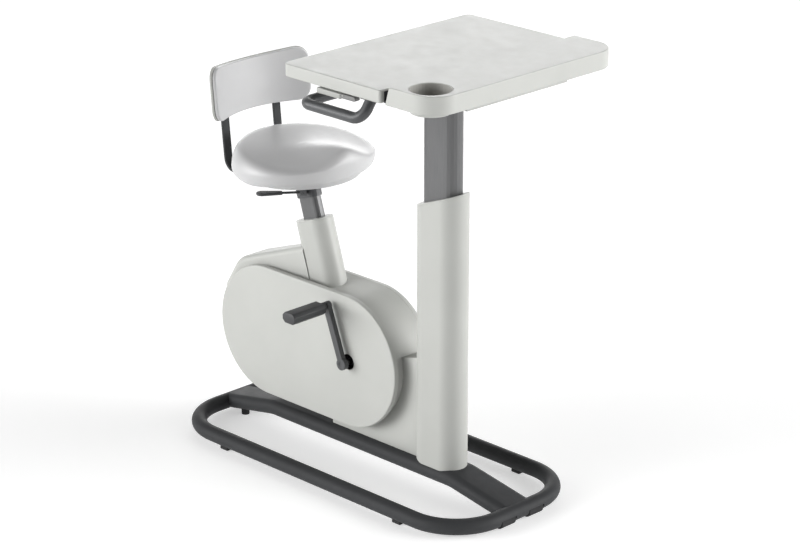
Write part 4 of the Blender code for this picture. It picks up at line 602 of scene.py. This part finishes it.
def covers():
    inner = COVER_RADIUS - COVER_WALL
    rim = COVER_FACE - COVER_DEPTH
    behind_cover, before_cover = 0.069, 0.078
    steps = [(inner, COVER_FACE - COVER_WALL), (inner, rim), (COVER_RADIUS, rim)]
    steps += arc((COVER_RADIUS - COVER_EDGE, COVER_FACE - COVER_EDGE), COVER_EDGE, 0.0, math.pi / 2, 8)
    for name, side, node in (("cover_near", -1, "right_cover"), ("cover_far", 1, "left_cover")):
        rings = [upright(housing_outline(radius), side * y) for radius, y in steps]
        hole = side_rod(CRANK_HOLE_RADIUS, side, behind_cover, before_cover, (CRANK_X, AXIS_Z))
        piece(name, loft(rings), shell, "chassis", node, cuts=[hole])


def ridge(inset=0.0):
    """The ridge that runs from the back of the housing up to the sleeve, or the hollow in it."""
    front_z = RIDGE_FRONT_Z - inset
    crest_z = front_z - RIDGE_SLOPE * (RIDGE_FRONT_X - RIDGE_CREST_X)
    corners = [Vector((RIDGE_FRONT_X, 0.0, front_z)), Vector((RIDGE_CREST_X + inset, 0.0, crest_z)),
               Vector((RIDGE_REAR_X + inset, 0.0, RIDGE_REAR_Z))]
    crest = [(point.x, point.z) for point in rounded_path(corners, RIDGE_BEND, steps=16)]
    crest += arc((COVER_REAR_X, AXIS_Z), COVER_RADIUS - inset, math.radians(160), math.radians(212), 18)
    crest.append((RIDGE_FRONT_X + math.tan(SEAT_TILT) * (front_z - AXIS_Z), AXIS_Z))

    def half_width(x):
        return RIDGE_HALF_WIDTH - RIDGE_TAPER * max(0.0, x - RIDGE_TAPER_X) - inset

    shape = loft([[Vector((x, side * half_width(x), z)) for x, z in crest] for side in (-1, 1)])
    creases = []                 # the long upper edges of both flanks
    for edge in shape.edges:
        first, second = (vert.co for vert in edge.verts)
        if first.y * second.y > 0 and min(first.z, second.z) > RIDGE_REAR_Z - 0.002:
            creases.append(edge)
    bmesh.ops.bevel(shape, geom=creases, offset=RIDGE_EDGE, segments=8, profile=0.5, affect="EDGES")
    return shape


def sleeve_ring(radius, half_flat, z, steps=24):
    return level(stadium(radius, half_flat, steps=steps), z)


def floor_ring(radius, half_flat, world_z, steps=24):
    """A ring of the tilted sleeve that lies level in the world, as at its foot."""
    drop = world_z - SLEEVE_TOP.z
    return [Vector((x, y, (drop - x * math.sin(SEAT_TILT)) / math.cos(SEAT_TILT)))
            for x, y in stadium(radius, half_flat, steps=steps)]


def body_shape(grow=0.0, beyond=0.0):
    """The housing's body, which flares towards its far cover."""
    slope = (BODY_FAR_RADIUS - BODY_RADIUS) / (BODY_FAR_Y - BODY_NEAR_Y)
    return loft([upright(housing_outline(BODY_RADIUS + grow - slope * beyond), BODY_NEAR_Y - beyond),
                 upright(housing_outline(BODY_FAR_RADIUS + grow + slope * beyond), BODY_FAR_Y + beyond)])


def housing():
    wall, overrun = 0.003, 0.010     # the hollow runs out past both ends
    room = SLEEVE_RADIUS + 0.0008
    sleeve_room = loft([floor_ring(room, SLEEVE_HALF_FLAT, 0.10), sleeve_ring(room, SLEEVE_HALF_FLAT, 0.0)])
    piece("housing_shell", body_shape(), shell, "chassis", "housing_body", joins=[ridge()],
          cuts=[body_shape(-wall, overrun), ridge(wall), moved(sleeve_room, SLEEVE_AXES)])


def fairing():
    def top(x):
        return FAIRING_TOP_Z + FAIRING_TOP_SLOPE * (x - FAIRING_TOP_X)

    def solid(inset):
        rear, front = FAIRING_REAR_X, COLUMN_X
        floor = BEAM_TOP + GAP - inset
        profile = [(rear - inset, floor), (front, floor),
                   (front, top(front) - inset), (rear - inset, top(rear) - inset)]
        half = FAIRING_HALF_WIDTH - inset
        return loft([upright(profile, -half), upright(profile, half)])

    post = stadium(COLUMN_RADIUS + GAP, COLUMN_HALF_FLAT, (COLUMN_X, 0.0), 24)
    piece("beam_fairing", solid(0.0), shell, "chassis", "fairing",
          cuts=[solid(FAIRING_WALL), body_shape(GAP), loft([level(post, 0.0), level(post, 0.9)])],
          edge=0.0012, segments=2, edge_angle=60)


def sleeve():
    outer, inner = SLEEVE_RADIUS, SLEEVE_RADIUS - SLEEVE_WALL
    foot_z, tube_top, cap_foot, cap_rim = 0.150, -0.0033, -0.045, -0.003

    def ring(radius, z):
        return sleeve_ring(radius, SLEEVE_HALF_FLAT, z)

    rings = [floor_ring(outer, SLEEVE_HALF_FLAT, foot_z), ring(outer, tube_top), ring(inner, tube_top),
             floor_ring(inner, SLEEVE_HALF_FLAT, foot_z)]
    piece("sleeve_tube", moved(loft(rings, True), SLEEVE_AXES), paint, "chassis", "seat_sleeve")
    rings = [sleeve_ring(POST_ROOM_RADIUS, POST_HALF_FLAT, cap_foot), ring(inner - GAP, cap_foot),
             ring(inner - GAP, cap_rim), ring(outer, cap_rim)]
    rings += [ring(outer - LID_EDGE * (1 - math.cos(a)), -LID_EDGE * (1 - math.sin(a)))
              for a in (0.0, math.pi / 4, math.pi / 2)]
    rings += [sleeve_ring(POST_ROOM_RADIUS, POST_HALF_FLAT, 0.0)]
    piece("sleeve_lid", moved(loft(rings, True), SLEEVE_AXES), shell, "chassis", "sleeve_cap")


# Desk

def desk_top():
    half = DESK_HALF_WIDTH
    outline = rounded_box((PANEL_REAR_X, -half), (PANEL_FRONT_X, half), radius=0.022, steps=12, front_radius=0.008)
    panel = piece("desk_board", loft([level(outline, DESK_UNDERSIDE), level(outline, PANEL_TOP)]), board, "desk",
                  "desk_panel", edge=0.0035, segments=5)
    weight_normals(panel)

    def ring(z, inset=0.0):
        rear = LEDGE_REAR_X + LEDGE_LEAN * (z - DESK_UNDERSIDE) / LEDGE_HEIGHT + inset
        low, high = (rear, -half + inset), (LEDGE_FRONT_X - inset, half - inset)
        return level(rounded_box(low, high, radius=0.004, steps=28, front_radius=LEDGE_CORNER - inset), z)

    inner = loft([ring(DESK_UNDERSIDE - LEDGE_WALL, LEDGE_WALL), ring(LEDGE_TOP - LEDGE_WALL, LEDGE_WALL)])
    ledge = piece("front_ledge_top", loft([ring(DESK_UNDERSIDE), ring(LEDGE_TOP)]), board, "desk",
                  "front_ledge", cuts=[inner], edge=0.003, segments=5, edge_first=True)

    at_cup = Matrix.Translation((CUP_X, CUP_Y, 0.0))
    pocket_profile = [(0.052, 1.205), (0.060, 1.213), (0.060, 1.263)]
    bore_profile = [(0.0485, 1.2085), (0.0565, 1.2165), (0.0565, 1.2635), (0.0580, 1.2655), (0.0580, 1.270)]
    pocket = moved(turned(pocket_profile, 96), at_cup)
    bore = moved(turned(bore_profile, 96), at_cup)
    smooth(keep_result(ledge, weld_and_cut(ledge, [pocket], [bore])), 40)
    weight_normals(ledge)


def tray():
    """The pressed tray under the desk top, with a shallow nose under the ledge."""
    rear_x, front_x, half_width, corner, floor_z = 0.060, 0.540, 0.187, 0.020, 1.1937
    nose_rear_x, nose_front_x, nose_right_y, nose_left_y, nose_floor_z = 0.520, 0.580, -0.224, 0.150, 1.2075

    def body(inset, top):
        low, high = (rear_x + inset, -half_width + inset), (front_x - inset, half_width - inset)
        outline = rounded_box(low, high, corner - inset)
        return loft([level(outline, floor_z + inset), level(outline, top)])

    def nose(inset, top):
        return box((nose_rear_x, nose_right_y + inset, nose_floor_z + inset),
                   (nose_front_x - inset, nose_left_y - inset, top))

    above = 1.22
    piece("under_tray", body(0.0, TRAY_TOP), paint, "desk", "desk_tray",
          joins=[nose(0.0, TRAY_TOP)], cuts=[body(TRAY_WALL, above), nose(TRAY_WALL, above)],
          edge=0.0009, segments=2, edge_angle=60)


def handle():
    """One bent tube: from under the desk on the left, round its rear edge, to under the desk on the right."""
    rise = DESK_UNDERSIDE - HANDLE_Z + HANDLE_RADIUS
    corners = []
    for side in (1, -1):
        leg = [Vector((HANDLE_FRONT_X, side * (HANDLE_Y - HANDLE_SPREAD * rise), HANDLE_Z + rise)),
               Vector((HANDLE_FRONT_X, side * HANDLE_Y, HANDLE_Z)),
               Vector((HANDLE_REAR_X, side * HANDLE_Y, HANDLE_Z))]
        corners += leg if side > 0 else leg[::-1]
    tube = sweep(rounded_path(corners, HANDLE_BEND, steps=16), HANDLE_RADIUS, sides=48)
    plate_rear_x, plate_front_x, plate_low_z, plate_high_z = 0.318, 0.374, 1.2117, 1.2177
    plates = []
    for side in (-1, 1):
        low_y, high_y = sorted((side * 0.344, side * 0.282))
        plates.append(box((plate_rear_x, low_y, plate_low_z), (plate_front_x, high_y, plate_high_z)))
    inside_desk = box((0.1, -0.4, TRAY_TOP), (0.4, 0.4, 1.30))
    piece("handle_tube", tube, powder, "desk", "handlebar", joins=plates, cuts=[inside_desk])


# Crank and pedals

def arm_outline(direction):
    neck = math.asin(ARM_HALF_WIDTH / ARM_BOSS_RADIUS)
    tip = math.asin(ARM_HALF_WIDTH / ARM_END_RADIUS)
    quarter = math.pi / 2
    boss = arc((0.0, 0.0), ARM_BOSS_RADIUS, quarter + neck, quarter + math.tau - neck, 32)
    end = arc((0.0, CRANK_LENGTH), ARM_END_RADIUS, -quarter + tip, -quarter + math.tau - tip, 24)
    return [(x * direction, z * direction) for x, z in boss + end]


def crank():
    """Two arms, each with a hole for the pedal's axle, a socket for the crank's and a bolt's recess."""
    hole_radius, socket_radius, recess_radius = 0.0053, 0.0088, 0.0078
    behind_arm, before_arm = 0.0887, 0.1043
    socket_floor, recess_floor, recess_end = 0.100, 0.1025, 0.106
    for hand, side, direction in (("right", -1, 1), ("left", 1, -1)):
        outline = arm_outline(direction)
        at_pedal = (0.0, CRANK_LENGTH * direction)
        hole = side_rod(hole_radius, side, behind_arm, before_arm, at_pedal, sides=32)
        socket = side_rod(socket_radius, side, behind_arm, socket_floor, sides=32)
        recess = side_rod(recess_radius, side, recess_floor, recess_end, sides=32)
        arm = loft([upright(outline, side * ARM_INNER_Y), upright(outline, side * ARM_OUTER_Y)])
        for shape in (arm, hole, socket, recess):
            shape.transform(CRANK_AXES)
        piece("arm_" + hand, arm, powder, "crank", "crank_arm_" + hand,
              cuts=[hole, socket, recess], edge=0.0018, segments=3, edge_angle=60)


def pedal(hand, side, direction):
    x, z, chamfer = PEDAL_HALF_LENGTH, PEDAL_HALF_HEIGHT, PEDAL_CHAMFER
    outline = [(-x, -z + chamfer), (-x + chamfer, -z), (x - chamfer, -z), (x, -z + chamfer),
               (x, z - chamfer), (x - chamfer, z), (-x + chamfer, z), (-x, z - chamfer)]
    at_end = Matrix.Translation((0.0, 0.0, CRANK_LENGTH * direction))
    pedal_axes = CRANK_AXES @ at_end @ Matrix.Rotation(CRANK_ANGLE, 4, "Y")
    block = moved(loft([upright(outline, side * y) for y in (PEDAL_INNER_Y, PEDAL_OUTER_Y)]), pedal_axes)
    neck_radius, neck_start, neck_end = 0.0120, 0.1085, 0.130
    bore_radius, bore_start, bore_end = 0.0056, 0.104, 0.238
    neck = moved(side_rod(neck_radius, side, neck_start, neck_end, sides=40), pedal_axes)
    bore = moved(side_rod(bore_radius, side, bore_start, bore_end, sides=32), pedal_axes)
    piece("pedal_block_" + hand, block, mould, "pedal_" + hand, "pedal_" + hand,
          joins=[neck], cuts=[bore], edge=0.0016, segments=3, edge_angle=25)


# Seat

def cushion_levels(angle):
    """Heights of the saddle's lower edge, widest line and upper edge, at an angle from straight ahead."""
    ahead = math.cos(angle)
    edge = 0.803 + 0.018 * max(0.0, ahead)
    widest = 0.836 + (0.026 if ahead > 0 else 0.010) * ahead
    crest = 0.8765 - 0.0175 * ahead + 0.003 * ahead ** 2
    return edge, widest, crest


def pommel(angle, share):
    """The rise along the middle of the saddle, highest at its front."""
    along = SEAT_HALF_LENGTH * share * math.cos(angle) - 0.165
    aside = SEAT_HALF_WIDTH * share * math.sin(angle)
    return 0.045 * math.exp(-(aside / 0.075) ** 2 - (min(0.0, along) / 0.105) ** 2)


def cushion():
    """A round saddle: a deep rolled edge, a pommel in front and a low ridge along its middle."""
    sides, crest_share, middle = 144, 0.86, 0.884
    under_rings = (0.30, 0.80)       # shares of the plan
    lower_steps, upper_steps, top_steps = 8, 12, 24
    plan = [(a, *cushion_levels(a)) for a in (math.tau * i / sides for i in range(sides))]
    rings = []

    def add_ring(share, height):
        length, width = SEAT_HALF_LENGTH * share, SEAT_HALF_WIDTH * share
        rings.append([Vector((SEAT_X + length * math.cos(a), width * math.sin(a), height(a, edge, widest, crest)))
                      for a, edge, widest, crest in plan])

    for share in under_rings:
        add_ring(share, lambda a, edge, widest, crest: SEAT_UNDERSIDE + GAP)
    for step in range(lower_steps + 1):
        turn = math.pi / 2 * step / lower_steps
        add_ring(0.88 + 0.12 * math.sin(turn), lambda a, edge, widest, crest:
                 edge * math.cos(turn) + widest * (1 - math.cos(turn)))
    for step in range(1, upper_steps + 1):
        turn = math.pi / 2 * step / upper_steps
        share = 1.0 - (1.0 - crest_share) * (1.0 - math.cos(turn))
        add_ring(share, lambda a, edge, widest, crest:
                 widest * (1 - math.sin(turn)) + math.sin(turn) * (crest + pommel(a, share)))
    for step in range(1, top_steps):
        share = crest_share * (1 - step / top_steps)
        weight = (share / crest_share) ** 1.6
        add_ring(share, lambda a, edge, widest, crest: middle + (crest - middle) * weight + pommel(a, share))
    shape = loft(rings)
    shape.verts.ensure_lookup_table()
    first_smoothed_ring = 14
    top = shape.verts[sides * first_smoothed_ring:]
    for _ in range(10):
        bmesh.ops.smooth_vert(shape, verts=top, factor=0.5, use_axis_x=False, use_axis_y=False, use_axis_z=True)
    obj = piece("saddle", shape, foam, "seat", "seat_cushion", sharp=80)

    low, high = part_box("seat_pan")
    foot, radius, foot_edge = 0.104, 0.110, 0.003
    profile = [(foot, low[2]), (radius, low[2] + foot_edge), (radius, high[2])]
    base_piece = piece("saddle_base", turned(profile, 96), mould, "seat", "seat_pan")
    base_piece.data.transform(Matrix.Translation((SEAT_X, 0.0, 0.0)))


def back_point(y, z, behind):
    """A point at a depth behind the backrest's curved and leaning front face."""
    x = BACK_X + y ** 2 / BACK_CURVE - (z - BACK_MIDDLE_Z) * math.tan(BACK_LEAN)
    slope = math.hypot(1.0, 2 * y / BACK_CURVE)
    return Vector((x - behind / slope, y + behind * 2 * y / BACK_CURVE / slope, z))


def back_panel(front, back, inset=0.0):
    """A curved panel with rounded corners, between two depths behind the backrest's front face."""
    half = BACK_HALF_WIDTH - inset
    low, high = BACK_LOW_Z + inset, BACK_HIGH_Z - inset
    middle = (low + high) / 2
    spacing = 0.008
    outline = rounded_box((-half, low), (half, high), BACK_CORNER, 12)
    dense = []
    for (a, b), (c, d) in zip(outline, outline[1:] + outline[:1]):
        pieces = max(1, round(math.hypot(c - a, d - b) / spacing))
        dense += [(a + (c - a) * i / pieces, b + (d - b) * i / pieces) for i in range(pieces)]
    dense = [(y, z + BACK_WING_RISE * max(0.0, (z - low) / (high - low)) * (y / half) ** 2) for y, z in dense]
    shape = bmesh.new()
    edges = []
    for depth in (front, back):
        loops = []
        for share in (1.0, 0.93, 0.80, 0.60, 0.40, 0.20):
            loops.append([shape.verts.new(back_point(y * share, middle + (z - middle) * share, depth))
                          for y, z in dense])
        for outer, inner in zip(loops, loops[1:]):
            for i in range(len(outer)):
                j = (i + 1) % len(outer)
                shape.faces.new((outer[i], outer[j], inner[j], inner[i]))
        shape.faces.new(loops[-1])
        edges.append(loops[0])
    first, second = edges
    for i in range(len(first)):
        j = (i + 1) % len(first)
        shape.faces.new((first[i], first[j], second[j], second[i]))
    bmesh.ops.recalc_face_normals(shape, faces=shape.faces)
    return shape


def backrest():
    pad = piece("back_cushion", back_panel(front=0.0, back=0.011, inset=0.001), foam, "seat",
                "backrest_pad", edge=0.004, segments=5, edge_angle=60, sharp=80)
    piece("back_shell", back_panel(front=0.0113, back=0.0193), shell, "seat",
          "backrest_shell", edge=0.003, segments=4, edge_angle=60, sharp=60)


def build():
    base()
    column()
    covers()
    housing()
    fairing()
    sleeve()
    desk_top()
    tray()
    handle()
    crank()
    pedal("right", -1, 1)
    pedal("left", 1, -1)
    cushion()
    backrest()


# Studio

FLOOR_SIZE = 40.0
FLOOR_DROP = 0.0002              # keeps it clear of the foot pads' faces
FLOOR_GLOW = 0.46


def studio():
    n = Nodes("White studio floor")
    n.link(n.colours(n.noise(1.2, 2.0), (0.78, 0.78, 0.78), (0.81, 0.81, 0.81)), n.shader.inputs["Base Color"])
    n.shader.inputs["Emission Color"].default_value = (1.0, 1.0, 1.0, 1.0)
    n.shader.inputs["Emission Strength"].default_value = FLOOR_GLOW
    n.link(n.spread(n.noise(6.0, 3.0), 0.85, 0.95), n.shader.inputs["Roughness"])
    n.shader.inputs["Specular IOR Level"].default_value = 0.1
    floor_mesh = bpy.data.meshes.new("studio_floor")
    shape = bmesh.new()
    bmesh.ops.create_grid(shape, x_segments=2, y_segments=2, size=FLOOR_SIZE)
    shape.to_mesh(floor_mesh)
    shape.free()
    floor_mesh.materials.append(n.material)
    floor = bpy.data.objects.new("studio_floor", floor_mesh)
    floor.location = (0.0, 0.0, -FLOOR_DROP)
    bpy.context.scene.collection.objects.link(floor)

    room()


ROOM_LIGHT = 0.05
SOFTBOXES = (
    # heading in degrees from +X towards +Y, elevation in degrees, narrowness, strength
    (38.0, 9.0, 12.0, 11.6),
    (238.0, 6.0, 12.0, 11.6),
    (135.0, 4.0, 10.0, 4.4),
)


def room():
    """A dim room with a broad soft light on each side of the photo's view and one behind the bike."""
    world = bpy.data.worlds.new("Soft white room")
    bpy.context.scene.world = world
    world.use_nodes = True
    tree = world.node_tree
    direction = tree.nodes.new("ShaderNodeTexCoord").outputs["Generated"]

    def combine(operation, first, second):
        node = tree.nodes.new("ShaderNodeMath")
        node.operation = operation
        for socket, value in zip(node.inputs, (first, second)):
            if isinstance(value, float):
                socket.default_value = value
            else:
                tree.links.new(value, socket)
        return node.outputs[0]

    total = ROOM_LIGHT
    for heading, elevation, narrowness, strength in SOFTBOXES:
        heading, elevation = math.radians(heading), math.radians(elevation)
        facing_light = tree.nodes.new("ShaderNodeVectorMath")
        facing_light.operation = "DOT_PRODUCT"
        tree.links.new(direction, facing_light.inputs[0])
        level_share = math.cos(elevation)
        facing_light.inputs[1].default_value = (
            level_share * math.cos(heading), level_share * math.sin(heading), math.sin(elevation))
        near = combine("POWER", combine("MAXIMUM", facing_light.outputs["Value"], 0.0), narrowness)
        total = combine("ADD", combine("MULTIPLY", near, strength), total)
    tree.links.new(total, tree.nodes["Background"].inputs["Strength"])
    tree.nodes["Background"].inputs["Color"].default_value = (1.0, 1.0, 1.0, 1.0)


CAMERA_PLACE = (5.28687, -5.15140, 3.28151)
CAMERA_HEADING = 45.108          # degrees from +Y towards -X
CAMERA_DIP = 20.283              # degrees that it looks down
CAMERA_LENS = 127.44             # millimetres


def camera():
    """The photo's view, as fitted to its straight edges and circles."""
    data = bpy.data.cameras.new("camera")
    data.sensor_width = 36.0
    data.lens = CAMERA_LENS
    data.clip_end = 200.0
    cam = bpy.data.objects.new("camera", data)
    cam.location = CAMERA_PLACE
    cam.rotation_euler = (math.radians(90 - CAMERA_DIP), 0.0, math.radians(CAMERA_HEADING))
    bpy.context.scene.collection.objects.link(cam)
    bpy.context.scene.camera = cam
    bpy.context.scene.view_settings.view_transform = "Standard"
    bpy.context.scene.view_settings.look = "None"


build()
studio()
camera()
